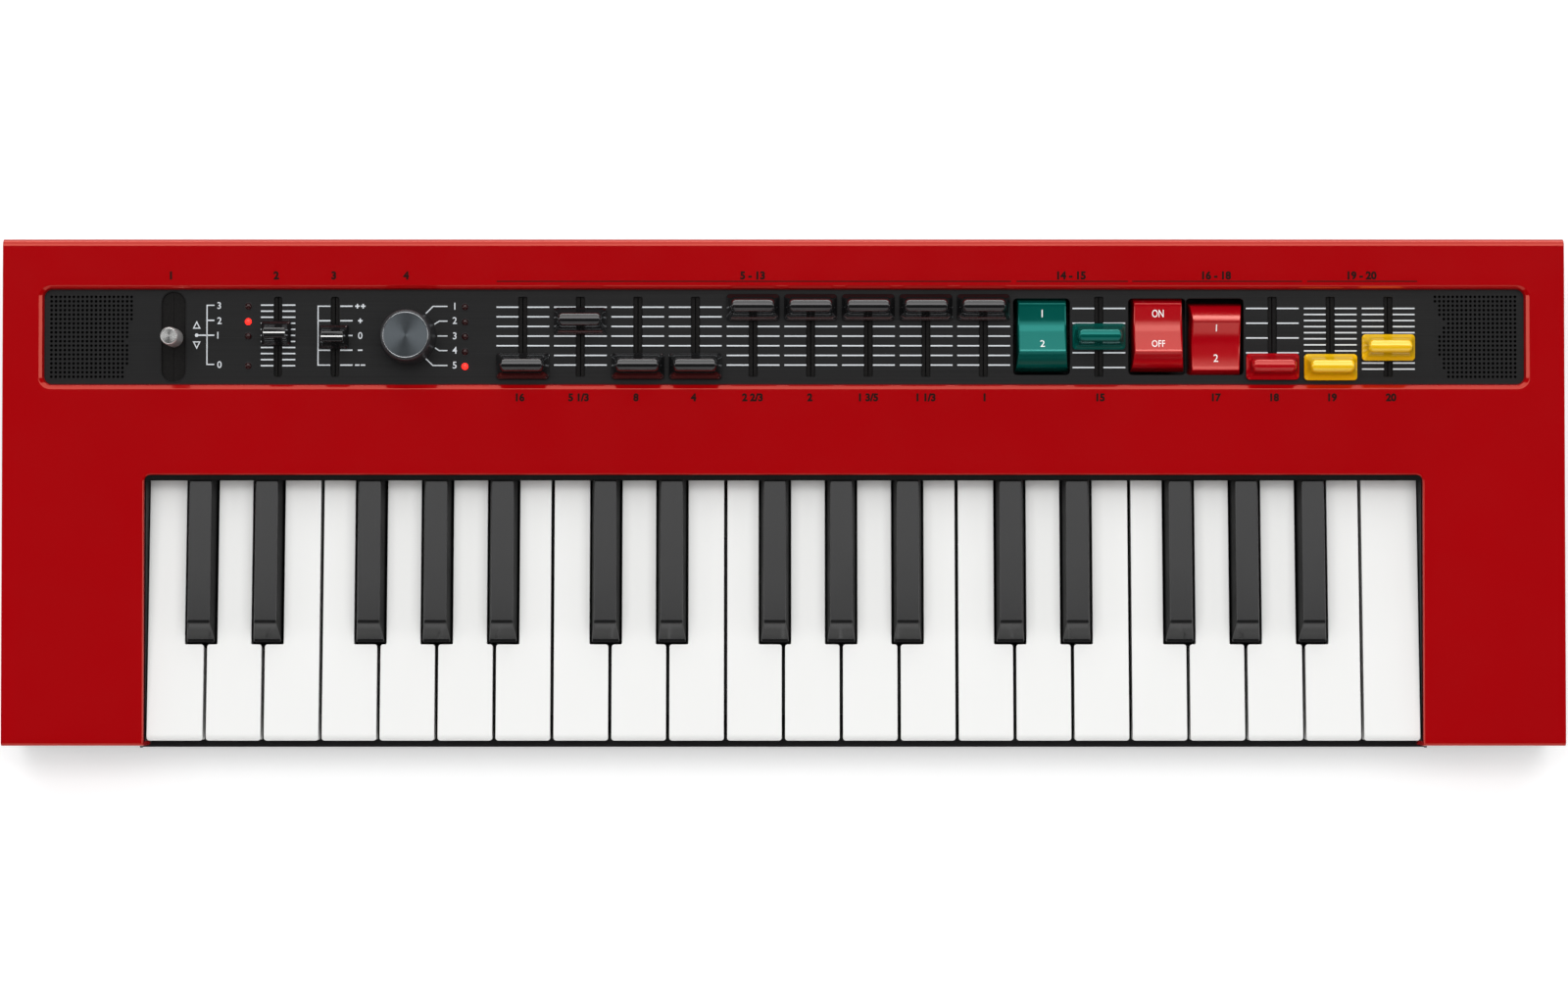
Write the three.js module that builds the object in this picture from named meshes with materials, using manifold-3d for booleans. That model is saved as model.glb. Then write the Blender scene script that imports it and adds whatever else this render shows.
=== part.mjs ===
// Combo organ: red slab case with a recessed black control panel and 37 mini keys.
// Millimetres, +X to the player's right, +Y to the rear, +Z up, origin at the middle of the footprint on the table.
import * as THREE from 'three';
import Module from 'manifold-3d';
import { mergeVertices } from 'three/addons/utils/BufferGeometryUtils.js';

const wasm = await Module();
wasm.setup();

// ---------------------------------------------------------------- driving dimensions
const W = 530;                 // case width
const SLOPE = 5.5 * Math.PI / 180; // tilt of the case top, rear high
const Y0 = -87.5, Z0 = 33;     // virtual front top edge of the case
const LEN = 172;               // case top along the slope
const FRONT_CHAMFER = 1.3, REAR_CHAMFER = 2.5;
const SKIN = 2.2;              // case wall
const PLATE = 2.5;             // case top plate
const SPLIT = 16;              // height of the joint between top and bottom case
const GAP = 0.3;               // gap between neighbouring fixed pieces
const FLOOR = 4;               // underside of the bottom case above the table
const FEET = [[-236, -66], [236, -66], [-236, 66], [236, 66]];
const FOOT_R = 8;

const KEY_HALF = 216.8;        // half width of the key opening
const LIP_U = 91.8;            // rear edge of the key opening, along the slope
const PITCH = 19.65;           // white key pitch
const KEY_GAP = 0.9;
const WHITE_TOP = 30.5, WHITE_FRONT = -85.4, WHITE_LOW = 20;
const BLACK_TOP = 38.5, BLACK_FRONT = -52.0;
const NOTCH_FRONT = -52.7, NOTCH_HALF = 5.475, BLACK_HALF = 4.75, BLACK_TOP_HALF = 3.75;
const KEY_REAR = 31, PIVOT_Y = 28, PIVOT_Z = 24;

const RECESS_IN = { x: 251, u0: 122.8, u1: 154.9, r: 2.8 };
const RECESS_OUT = { x: 253, u0: 120.9, u1: 156.3, r: 4.2 };
const PANEL_H = -2.8, PANEL_T = 1.0; // panel's top face below the case top, and its thickness
const SLOT_U = 138.85, SLOT_LEN = 27.1, SLOT_W = 2.8, SMALL_SLOT_W = 2.5;
const COL0 = -88.6, COL = 19.57;     // first footage column and column pitch
const TRAVEL = 20;
const ROCKER_W = 17, ROCKER_HOLE_W = 18.9, ROCKER_HOLE_L = 26, ROCKER_AXIS = -11.8, ROCKER_TILT = 12;
const LEVER_X = -207.3, LEVER_AXIS_H = -22.8;
const KNOB_X = -127.3;

// ---------------------------------------------------------------- helpers
const slopeMatrix = new THREE.Matrix4().makeRotationX(SLOPE).setPosition(0, Y0, Z0);
const P = (u, h) => [Y0 + u * Math.cos(SLOPE) - h * Math.sin(SLOPE), Z0 + u * Math.sin(SLOPE) + h * Math.cos(SLOPE)];

function solid(geometry) {
  const g = geometry.clone();
  for (const name of Object.keys(g.attributes)) if (name !== 'position') g.deleteAttribute(name);
  const m = mergeVertices(g, 1e-4);
  return new wasm.Manifold(new wasm.Mesh({
    numProp: 3,
    vertProperties: new Float32Array(m.attributes.position.array),
    triVerts: new Uint32Array(m.index.array),
  }));
}

function geometryOf(manifold) {
  const mesh = manifold.getMesh();
  const g = new THREE.BufferGeometry();
  g.setAttribute('position', new THREE.BufferAttribute(new Float32Array(mesh.vertProperties), 3));
  g.setIndex(new THREE.BufferAttribute(new Uint32Array(mesh.triVerts), 1));
  g.computeVertexNormals();
  return g;
}

const shapeOf = (points) => new THREE.Shape(points.map(([a, b]) => new THREE.Vector2(a, b)));

// outline in the XY plane raised from z0 to z1
function raised(points, z0, z1, holes = []) {
  const s = shapeOf(points);
  for (const h of holes) s.holes.push(new THREE.Path(h.map(([a, b]) => new THREE.Vector2(a, b))));
  return new THREE.ExtrudeGeometry(s, { depth: z1 - z0, bevelEnabled: false, steps: 1 }).translate(0, 0, z0);
}

// side profile in the YZ plane drawn from x0 to x1
function along(points, x0, x1) {
  const g = new THREE.ExtrudeGeometry(shapeOf(points), { depth: x1 - x0, bevelEnabled: false, steps: 1 }).translate(0, 0, x0);
  const turn = new THREE.Matrix4().set(0, 0, 1, 0, 1, 0, 0, 0, 0, 1, 0, 0, 0, 0, 0, 1);
  return g.applyMatrix4(turn);
}

// front profile in the XZ plane drawn from y0 to y1
function through(points, y0, y1) {
  const g = new THREE.ExtrudeGeometry(shapeOf(points), { depth: y1 - y0, bevelEnabled: false, steps: 1 });
  const turn = new THREE.Matrix4().set(1, 0, 0, 0, 0, 0, -1, 0, 0, 1, 0, 0, 0, 0, 0, 1);
  return g.applyMatrix4(turn).translate(0, y1, 0);
}

const box = (x0, x1, y0, y1, z0, z1) =>
  new THREE.BoxGeometry(x1 - x0, y1 - y0, z1 - z0).translate((x0 + x1) / 2, (y0 + y1) / 2, (z0 + z1) / 2);

function roundRect(x0, x1, y0, y1, r, n = 4) {
  const pts = [];
  for (const [cx, cy, a] of [[x1 - r, y1 - r, 0], [x0 + r, y1 - r, 90], [x0 + r, y0 + r, 180], [x1 - r, y0 + r, 270]])
    for (let i = 0; i <= n; i++) {
      const t = (a + 90 * i / n) * Math.PI / 180;
      pts.push([cx + r * Math.cos(t), cy + r * Math.sin(t)]);
    }
  return pts;
}

const circle = (cx, cy, r, n = 24) =>
  Array.from({ length: n }, (_, i) => [cx + r * Math.cos(2 * Math.PI * i / n), cy + r * Math.sin(2 * Math.PI * i / n)]);

// a raised outline whose top cap is moved to another outline with as many points
function tapered(low, z0, high, z1) {
  const g = raised(low, z0, z1);
  const p = g.attributes.position;
  for (let i = 0; i < p.count; i++) {
    if (Math.abs(p.getZ(i) - z1) > 1e-6) continue;
    let best = 0, dist = 1e9;
    low.forEach(([a, b], k) => {
      const d = Math.hypot(a - p.getX(i), b - p.getY(i));
      if (d < dist) { dist = d; best = k; }
    });
    p.setXYZ(i, high[best][0], high[best][1], z1);
  }
  return g;
}

const onSlope = (g) => g.applyMatrix4(slopeMatrix);

// ---------------------------------------------------------------- materials
const mat = (color, roughness, metalness = 0) => new THREE.MeshStandardMaterial({ color, roughness, metalness });
const RED = mat(0xa8060f, 0.28);
const PANEL = mat(0x262626, 0.55);
const BASE = mat(0x161616, 0.65);
const WHITE = mat(0xf0f0ec, 0.3);
const BLACK = mat(0x141414, 0.35);
const CAP_BLACK = mat(0x1c1c1c, 0.4);
const CAP_GREEN = mat(0x0b6e5f, 0.35);
const CAP_RED = mat(0xb8101a, 0.32);
const CAP_YELLOW = mat(0xf2c818, 0.35);
const SILVER = mat(0xc8cacc, 0.3, 1);
const KNOB = mat(0x464b50, 0.35, 0.6);

const organ = new THREE.Group();
organ.name = 'combo_organ';
const deck = new THREE.Group();      // everything that stands on the sloping top
deck.applyMatrix4(slopeMatrix);
organ.add(deck);

function put(parent, name, shape, material) {
  const mesh = new THREE.Mesh(shape.isBufferGeometry ? shape : geometryOf(shape), material);
  mesh.name = name;
  parent.add(mesh);
  return mesh;
}

// ---------------------------------------------------------------- case
const zOnFace = (u, z) => (z - Z0 - u * Math.sin(SLOPE)) / Math.cos(SLOPE); // h of a point on face u at height z
const redFront = P(0, zOnFace(0, SPLIT)), redRear = P(LEN, zOnFace(LEN, SPLIT));
const outerProfile = [
  redFront, redRear,
  P(LEN, -REAR_CHAMFER), P(LEN - REAR_CHAMFER, 0),
  P(FRONT_CHAMFER, 0), P(0, -FRONT_CHAMFER),
];
const cavityProfile = [
  P(SKIN, zOnFace(SKIN, SPLIT - 4)), P(LEN - SKIN, zOnFace(LEN - SKIN, SPLIT - 4)),
  P(LEN - SKIN, -PLATE), P(SKIN, -PLATE),
];
const JACK_HALF = 140, JACK_TOP = 34;

{
  const outer = solid(along(outerProfile, -W / 2, W / 2));
  const cavity = solid(along(cavityProfile, -W / 2 + SKIN, W / 2 - SKIN));
  let shell = outer.subtract(cavity);
  for (const s of [-1, 1]) {
    const x0 = s > 0 ? KEY_HALF : -KEY_HALF - SKIN;
    shell = shell.add(outer.intersect(solid(box(x0, x0 + SKIN, -95, 14, 0, 60))));
  }
  shell = shell.subtract(solid(onSlope(box(-KEY_HALF, KEY_HALF, -12, LIP_U, -70, 12))));
  const lowOut = roundRect(-RECESS_IN.x, RECESS_IN.x, RECESS_IN.u0, RECESS_IN.u1, RECESS_IN.r);
  const k = 1.1; // the bevel is carried a little above the top face
  const grow = (a, b) => a + (b - a) * k;
  const highOut = roundRect(-grow(RECESS_IN.x, RECESS_OUT.x), grow(RECESS_IN.x, RECESS_OUT.x),
    grow(RECESS_IN.u0, RECESS_OUT.u0), grow(RECESS_IN.u1, RECESS_OUT.u1), grow(RECESS_IN.r, RECESS_OUT.r));
  shell = shell.subtract(solid(onSlope(tapered(lowOut, -PLATE, highOut, PLATE * (k - 1)))));
  shell = shell.subtract(solid(onSlope(raised(lowOut, -PLATE - 3, -PLATE + 0.01))));
  shell = shell.subtract(solid(box(-JACK_HALF, JACK_HALF, 78, 95, SPLIT - 2, JACK_TOP)));
  put(organ, 'top_case', shell, RED);
}

// ---------------------------------------------------------------- bottom case, with its feet
{
  const tan = Math.tan(SLOPE);
  const topZ = SPLIT - GAP;
  const rearTop = redRear[0] + (SPLIT - topZ) * tan;
  const profile = [
    [-83.9, FLOOR], [84.4, FLOOR], [87.37, FLOOR + 3], [87.37, redRear[1] - (87.37 - redRear[0]) / tan],
    [rearTop, topZ], [redFront[0] + 0.3, topZ], [-84.6, 6.2],
  ];
  let tray = solid(along(profile, -W / 2 + GAP, W / 2 - GAP));
  tray = tray.subtract(solid(box(-W / 2 + GAP + SKIN, W / 2 - GAP - SKIN, -82.2, 84.4, FLOOR + SKIN, 40)));
  tray = tray.subtract(solid(box(-KEY_HALF, KEY_HALF, -95, -78, 13.5, 40)));
  // jack wall, standing in the cut-out of the red rear wall
  const wallU = LEN - GAP;
  const jackProfile = [P(wallU - SKIN, zOnFace(wallU - SKIN, FLOOR + 3)), P(wallU, zOnFace(wallU, topZ - 4)),
    P(wallU, zOnFace(wallU, JACK_TOP - GAP)), P(wallU - SKIN, zOnFace(wallU - SKIN, JACK_TOP - GAP))];
  tray = tray.add(solid(along(jackProfile, -JACK_HALF + GAP, JACK_HALF - GAP)));
  for (const x of [-96, -64, -32, 0])
    tray = tray.subtract(solid(through(circle(x, 25, 4.2, 16), 75, 95)));
  // key fulcrum rail
  tray = tray.add(solid(along([[27, FLOOR + 1], [29, FLOOR + 1], [29, PIVOT_Z - GAP], [27, PIVOT_Z - GAP]], -KEY_HALF + 0.4, KEY_HALF - 0.4)));
  for (const [x, y] of FEET)
    tray = tray.add(solid(raised(circle(x, y, FOOT_R, 20), 0, FLOOR + 0.5)));
  put(organ, 'bottom_case', tray, BASE);
}

// ---------------------------------------------------------------- control panel
const columns = Array.from({ length: 16 }, (_, k) => COL0 + COL * k);
{
  const slot = (x, w) => roundRect(x - w / 2, x + w / 2, SLOT_U - SLOT_LEN / 2, SLOT_U + SLOT_LEN / 2, w / 2 - 0.2, 2);
  const holes = [];
  for (const x of [-171.8, -152.4]) holes.push(slot(x, SMALL_SLOT_W));
  columns.forEach((x, k) => {
    if ([9, 11, 12].includes(k)) {
      holes.push(roundRect(x - ROCKER_HOLE_W / 2, x + ROCKER_HOLE_W / 2, SLOT_U - ROCKER_HOLE_L / 2, SLOT_U + ROCKER_HOLE_L / 2, 1.4, 2));
    } else holes.push(slot(x, SLOT_W));
  });
  holes.push(roundRect(LEVER_X - 4, LEVER_X + 4, SLOT_U - 15.3, SLOT_U + 15.3, 3.95, 5));
  holes.push(circle(KNOB_X, SLOT_U, 3.6, 16));
  put(deck, 'control_panel', raised(roundRect(-256, 256, 118.6, 159, 2), PANEL_H - PANEL_T, PANEL_H, holes), PANEL);
}

// ---------------------------------------------------------------- sliders
const SLIDER_REST = { // millimetres from the front stop at rest
  volume: 12, octave: 10,
  footage: [0, 15.4, 0, 0, 20, 20, 20, 20, 20],
  depth: 10, length: 0, distortion: 0, reverb: 6.9,
};
function slider(name, x, rest, material, size) {
  const { baseX, baseU, ridgeX, ridgeU, high, stemX } = size;
  const h0 = PANEL_H + 0.4;
  const side = [[-baseU / 2, h0], [baseU / 2, h0], [baseU / 2, h0 + 1.0], [ridgeU / 2 + 0.35, h0 + high - 1.2], [ridgeU / 2 - 0.5, h0 + high],
    [-ridgeU / 2 + 0.5, h0 + high], [-ridgeU / 2 - 0.35, h0 + high - 1.2], [-baseU / 2, h0 + 1.0]];
  const front = [[-baseX / 2, h0 - 1], [baseX / 2, h0 - 1], [baseX / 2, h0 + 1.0], [ridgeX / 2, h0 + high + 1], [-ridgeX / 2, h0 + high + 1], [-baseX / 2, h0 + 1.0]];
  let cap = solid(along(side, -baseX, baseX)).intersect(solid(through(front, -baseU, baseU)));
  cap = cap.add(solid(box(-stemX / 2, stemX / 2, -2.4, 2.4, PANEL_H - 6.5, h0 + 1)));
  const mesh = put(deck, name, cap, material);
  mesh.position.set(x, SLOT_U - TRAVEL / 2 + rest, 0);
}
const BIG = { baseX: 17.8, baseU: 9.2, ridgeX: 15.2, ridgeU: 3.3, high: 8, stemX: 1.8 };
const SMALL = { baseX: 10, baseU: 8.4, ridgeX: 8.3, ridgeU: 4.1, high: 7.6, stemX: 1.6 };
slider('volume_slider', -171.8, SLIDER_REST.volume, CAP_BLACK, SMALL);
slider('octave_slider', -152.4, SLIDER_REST.octave, CAP_BLACK, SMALL);
SLIDER_REST.footage.forEach((rest, k) => slider(`footage_slider_${k + 1}`, columns[k], rest, CAP_BLACK, BIG));
slider('depth_slider', columns[10], SLIDER_REST.depth, CAP_GREEN, BIG);
slider('length_slider', columns[13], SLIDER_REST.length, CAP_RED, BIG);
slider('distortion_slider', columns[14], SLIDER_REST.distortion, CAP_YELLOW, BIG);
slider('reverb_slider', columns[15], SLIDER_REST.reverb, CAP_YELLOW, BIG);

// ---------------------------------------------------------------- rockers
function rocker(name, x, tilt, material) {
  // profile heights are measured from the pivot; the panel's top face is at -ROCKER_AXIS
  const half = [[0, 13.1], [3.2, 13.25], [6, 13.7], [8.2, 14.45], [8.9, 14.35], [9.4, 13.8], [13.77, 8.52], [13.11, 5.39], [6, 3.2], [3, -2]];
  const side = [...half.slice().reverse(), ...half.slice(1).map(([u, h]) => [-u, h])];
  const mesh = put(deck, name, along(side.reverse(), -ROCKER_W / 2, ROCKER_W / 2), material);
  mesh.position.set(x, SLOT_U, PANEL_H + ROCKER_AXIS);
  mesh.rotation.x = tilt * Math.PI / 180;
}
rocker('vibrato_rocker', columns[9], -ROCKER_TILT, CAP_GREEN);
rocker('percussion_rocker', columns[11], -ROCKER_TILT, CAP_RED);
rocker('percussion_type_rocker', columns[12], ROCKER_TILT, CAP_RED);

// ---------------------------------------------------------------- wave knob and rotary speed lever
{
  const r = (pts) => pts.map(([a, b]) => new THREE.Vector2(a, b));
  const knob = put(deck, 'wave_knob', new THREE.LatheGeometry(r([
    [0, -9.5], [3, -9.5], [3, 0.4], [9.45, 0.4], [9.45, 1.6], [8.2, 4.0], [7.7, 11.6], [7.2, 12.2], [0, 12.2]]), 32).rotateX(Math.PI / 2), KNOB);
  knob.position.set(KNOB_X, SLOT_U, PANEL_H);
  const tip = (Z0 + SLOT_U * Math.sin(SLOPE) - 60) / -Math.cos(SLOPE); // height of the lever's top over the case top
  const up = tip - LEVER_AXIS_H;
  const lever = put(deck, 'rotary_speed_lever', new THREE.LatheGeometry(r([
    [0, -3], [2.4, -3], [3.2, -1.2], [3.2, 1.2], [1.9, 3.2], [1.9, up - 13.5], [3.15, up - 12.6], [3.15, up - 0.9], [2.4, up - 0.15], [0, up]]), 24).rotateX(Math.PI / 2), SILVER);
  lever.position.set(LEVER_X, SLOT_U, LEVER_AXIS_H);
}

// ---------------------------------------------------------------- keys
const WHITE_NAMES = ['C', 'D', 'E', 'F', 'G', 'A', 'B'];
const BLACK_AFTER = { C: -1.47, D: 1.43, F: -2.9, G: 0, A: 2.93 }; // shift of the black key from the joint to its right
const white = Array.from({ length: 22 }, (_, i) => ({ letter: WHITE_NAMES[i % 7], octave: 1 + Math.floor(i / 7), left: (i - 11) * PITCH }));

white.forEach((key, i) => {
  const x0 = key.left + KEY_GAP / 2, x1 = key.left + PITCH - KEY_GAP / 2;
  const before = i > 0 ? BLACK_AFTER[white[i - 1].letter] : undefined;
  const after = i < 21 ? BLACK_AFTER[key.letter] : undefined;
  const n0 = before === undefined ? x0 : key.left + before + NOTCH_HALF;
  const n1 = after === undefined ? x1 : key.left + PITCH + after - NOTCH_HALF;
  const side = [[WHITE_FRONT, WHITE_LOW], [16, WHITE_LOW], [20, PIVOT_Z], [KEY_REAR, PIVOT_Z], [KEY_REAR, WHITE_TOP],
    [WHITE_FRONT + 1.3, WHITE_TOP], [WHITE_FRONT + 0.4, WHITE_TOP - 0.4], [WHITE_FRONT, WHITE_TOP - 1.3]];
  let body = solid(along(side, x0, x1));
  if (n0 > x0) body = body.subtract(solid(box(x0 - 5, n0, NOTCH_FRONT, 60, 0, 60)));
  if (n1 < x1) body = body.subtract(solid(box(n1, x1 + 5, NOTCH_FRONT, 60, 0, 60)));
  body = body.subtract(solid(box(x0 + 1.6, x1 - 1.6, WHITE_FRONT + 1.8, NOTCH_FRONT - 1.8, 0, WHITE_TOP - 2.2)));
  body = body.subtract(solid(box(n0 + 1.6, n1 - 1.6, NOTCH_FRONT - 3, 14, 0, WHITE_TOP - 2.2)));
  put(organ, `key_${key.letter}${key.octave}`, body, WHITE);

  if (after !== undefined) {
    const cx = key.left + PITCH + after;
    const profile = [[BLACK_FRONT, 21], [16, 21], [20, PIVOT_Z], [KEY_REAR, PIVOT_Z], [KEY_REAR, WHITE_TOP], [8, WHITE_TOP], [6.8, BLACK_TOP],
      [-46.1, BLACK_TOP], [-50.9, 32], [BLACK_FRONT, 31]];
    const front = [[cx - BLACK_HALF, 15], [cx + BLACK_HALF, 15], [cx + BLACK_HALF, 31], [cx + BLACK_TOP_HALF, BLACK_TOP + 0.001],
      [cx - BLACK_TOP_HALF, BLACK_TOP + 0.001], [cx - BLACK_HALF, 31]];
    let cap = solid(along(profile, cx - 8, cx + 8)).intersect(solid(through(front, -60, 60)));
    cap = cap.subtract(solid(box(cx - 2.6, cx + 2.6, BLACK_FRONT + 4, 5, 0, BLACK_TOP - 3)));
    cap = cap.subtract(solid(box(cx - 2.6, cx + 2.6, 4, 14, 0, WHITE_TOP - 2.2)));
    put(organ, `key_${key.letter}s${key.octave}`, cap, BLACK);
  }
});

export default organ;
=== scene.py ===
"""Combo organ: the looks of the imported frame. Shapes are built in millimetres and stored in metres."""
import math

import bmesh
import bpy
import numpy as np
from mathutils import Matrix, Vector
from mathutils.geometry import tessellate_polygon


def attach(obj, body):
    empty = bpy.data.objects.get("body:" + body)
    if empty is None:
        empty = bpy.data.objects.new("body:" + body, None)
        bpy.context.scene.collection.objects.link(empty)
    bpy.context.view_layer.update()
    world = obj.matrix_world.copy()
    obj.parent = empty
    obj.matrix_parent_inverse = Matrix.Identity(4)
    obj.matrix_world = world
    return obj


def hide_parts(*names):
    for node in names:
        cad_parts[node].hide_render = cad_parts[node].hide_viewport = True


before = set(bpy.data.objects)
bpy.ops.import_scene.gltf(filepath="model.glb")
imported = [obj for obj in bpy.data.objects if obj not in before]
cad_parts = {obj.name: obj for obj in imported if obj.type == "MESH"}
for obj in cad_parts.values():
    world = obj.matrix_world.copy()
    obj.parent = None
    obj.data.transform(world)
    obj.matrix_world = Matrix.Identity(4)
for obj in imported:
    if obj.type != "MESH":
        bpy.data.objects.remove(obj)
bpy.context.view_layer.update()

# ------------------------------------------------------------------ the frame's own dimensions, in millimetres
A = math.radians(5.5)
CA, SA = math.cos(A), math.sin(A)
Y0, Z0, LEN, W = -87.5, 33.0, 172.0, 530.0
SPLIT = 16.0
KEY_HALF, LIP_U = 216.8, 91.8
PITCH, KEY_GAP = 19.65, 0.9
WHITE_TOP, WHITE_FRONT, WHITE_LOW = 30.5, -85.4, 20.0
BLACK_TOP, BLACK_FRONT = 38.5, -52.0
NOTCH_FRONT, NOTCH_HALF = -52.7, 5.475
KEY_REAR, PIVOT_Z = 31.0, 24.0
PANEL_H, SLOT_U, SLOT_LEN = -2.8, 138.85, 27.1
COL0, COL = -88.6, 19.57
KNOB_X, LEVER_X, LEVER_AXIS_H = -127.3, -207.3, -22.8
COLS = [COL0 + COL * k for k in range(16)]


def P(x, u, h):
    return (x, Y0 + u * CA - h * SA, Z0 + u * SA + h * CA)


def yz(u, h):
    return (Y0 + u * CA - h * SA, Z0 + u * SA + h * CA)


def h_at(u, z):
    return (z - Z0 - u * SA) / CA


def px(x):
    return (x - 799.5) / 3.001


def pu(y):
    return 172.0 - (y - 243.7) / 3.0035


# ------------------------------------------------------------------ mesh helpers
class Shape:
    def __init__(self):
        self.v, self.f = [], []

    def ring(self, pts):
        i = len(self.v)
        self.v += [tuple(p) for p in pts]
        return list(range(i, len(self.v)))

    def loft(self, rings, closed=True):
        for a, b in zip(rings, rings[1:]):
            n = len(a)
            for i in range(n if closed else n - 1):
                j = (i + 1) % n
                self.f.append((a[i], a[j], b[j], b[i]))

    def cap(self, ring, flip=False):
        self.f.append(tuple(reversed(ring)) if flip else tuple(ring))

    def fill(self, rings, flat):
        """A face with holes: rings of vertex numbers, flat maps a vertex to two numbers."""
        ids = [i for r in rings for i in r]
        tris = tessellate_polygon([[Vector((*flat(self.v[i]), 0.0)) for i in r] for r in rings])
        for t in tris:
            self.f.append(tuple(ids[k] for k in t))

    def add(self, other):
        n = len(self.v)
        self.v += other.v
        self.f += [tuple(i + n for i in f) for f in other.f]
        return self

    def moved(self, fn):
        s = Shape()
        s.v = [fn(*p) for p in self.v]
        s.f = list(self.f)
        return s

    def box(self, x0, x1, y0, y1, z0, z1):
        a = self.ring([(x0, y0, z0), (x1, y0, z0), (x1, y1, z0), (x0, y1, z0)])
        b = self.ring([(x0, y0, z1), (x1, y0, z1), (x1, y1, z1), (x0, y1, z1)])
        self.cap(a, True)
        self.cap(b)
        self.loft([a, b])
        return self


def mesh_of(name, shape, scale=0.001, fn=None):
    me = bpy.data.meshes.new(name)
    bm = bmesh.new()
    vs = [bm.verts.new([c * scale for c in (fn(*p) if fn else p)]) for p in shape.v]
    for f in shape.f:
        ids = []
        for i in f:
            if not ids or i != ids[-1]:
                ids.append(i)
        if len(set(ids)) < 3:
            continue
        try:
            bm.faces.new([vs[i] for i in ids])
        except ValueError:
            pass
    bmesh.ops.remove_doubles(bm, verts=bm.verts, dist=2e-7)
    bmesh.ops.dissolve_degenerate(bm, edges=bm.edges, dist=1e-7)
    bmesh.ops.recalc_face_normals(bm, faces=bm.faces)
    bm.to_mesh(me)
    bm.free()
    return me


def finish_mesh(o, material, angle=38.0, weighted=True):
    me = o.data
    me.materials.clear()
    me.materials.append(material)
    for p in me.polygons:
        p.use_smooth = True
    me.set_sharp_from_angle(angle=math.radians(angle))
    if weighted:
        m = o.modifiers.new("normals", "WEIGHTED_NORMAL")
        m.mode = "FACE_AREA"
        m.weight = 50
        m.keep_sharp = True


def piece(name, shape, material, body="case", node=None, slot=None, slope=False, angle=38.0, weighted=True, matrix=None):
    me = shape if isinstance(shape, bpy.types.Mesh) else mesh_of(name, shape, fn=P if slope else None)
    o = bpy.data.objects.new(name, me)
    bpy.context.scene.collection.objects.link(o)
    if matrix is not None:
        o.matrix_world = matrix
    finish_mesh(o, material, angle, weighted)
    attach(o, body)
    if node:
        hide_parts(*([node] if isinstance(node, str) else node))
    return o


def rounded(poly, radii, seg=4):
    """Corners turned into arcs, for a counter-clockwise outline."""
    out, n = [], len(poly)
    for i in range(n):
        p0, p1, p2 = (np.array(poly[(i + k) % n], float) for k in (-1, 0, 1))
        r = radii[i] if hasattr(radii, "__len__") else radii
        if r <= 0:
            out.append(tuple(p1))
            continue
        e1, e2 = (p1 - p0) / np.linalg.norm(p1 - p0), (p2 - p1) / np.linalg.norm(p2 - p1)
        turn = math.atan2(e1[0] * e2[1] - e1[1] * e2[0], float(e1 @ e2))
        t = r * math.tan(abs(turn) / 2)
        s = 1 if turn > 0 else -1
        n1 = np.array([-e1[1], e1[0]]) * s
        c = p1 - e1 * t + n1 * r
        a0 = math.atan2(-n1[1], -n1[0])
        for k in range(seg + 1):
            a = a0 + turn * k / seg
            out.append((c[0] + r * math.cos(a), c[1] + r * math.sin(a)))
    return out


def rect(x0, x1, y0, y1):
    return [(x0, y0), (x1, y0), (x1, y1), (x0, y1)]


def inset(poly, dist):
    """The outline moved inwards. dist is a number or a function of (middle of edge, outward normal)."""
    n, out = len(poly), []
    pts = [np.array(p, float) for p in poly]
    nrm, d = [], []
    for i in range(n):
        e = pts[(i + 1) % n] - pts[i]
        ln = np.linalg.norm(e)
        e = e / ln if ln > 1e-9 else np.array([1.0, 0.0])
        inward = np.array([-e[1], e[0]])
        nrm.append(inward)
        d.append(dist((pts[(i + 1) % n] + pts[i]) / 2, -inward) if callable(dist) else dist)
    for i in range(n):
        a, b, da, db = nrm[i - 1], nrm[i], d[i - 1], d[i]
        det = a[0] * b[1] - a[1] * b[0]
        if abs(det) < 0.03:
            m = a + b
            off = m / max(np.linalg.norm(m), 1e-9) * (da + db) / 2
        else:
            off = np.array([(da * b[1] - db * a[1]) / det, (a[0] * db - b[0] * da) / det])
        out.append(tuple(pts[i] + off))
    return out


def fillet(r, seg=3):
    """(how far in, how far below the top) from the side to the top."""
    return [(r * (1 - math.cos(math.pi / 2 * k / seg)), r * (1 - math.sin(math.pi / 2 * k / seg))) for k in range(seg + 1)]


def prism(outline, z0, z1, top=0.3, bottom=0.0, seg=3):
    """An outline raised from z0 to z1 with rounded edges, in its own XY plane."""
    s, rings = Shape(), []
    for a, b in reversed(fillet(bottom, seg) if bottom else [(0, 0)]):
        rings.append(s.ring([(x, y, z0 + b) for x, y in inset(outline, a)]))
    for a, b in fillet(top, seg) if top else [(0, 0)]:
        rings.append(s.ring([(x, y, z1 - b) for x, y in inset(outline, a)]))
    s.cap(rings[0], True)
    s.cap(rings[-1])
    s.loft(rings)
    return s


def bar(profile, x0, x1, end=0.6, keep=None, seg=3):
    """A side profile (y, z) drawn along X with rounded ends. keep(mid, normal) is True for edges that stay put at the ends."""
    s, rings = Shape(), []
    dist = lambda a: (lambda m, n: 0.0 if keep and keep(m, n) else a)
    steps = fillet(end, seg)
    for a, b in reversed(steps):
        rings.append(s.ring([(x0 + b, y, z) for y, z in inset(profile, dist(a))]))
    for a, b in steps:
        rings.append(s.ring([(x1 - b, y, z) for y, z in inset(profile, dist(a))]))
    s.cap(rings[0], True)
    s.cap(rings[-1])
    s.loft(rings)
    return s


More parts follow.
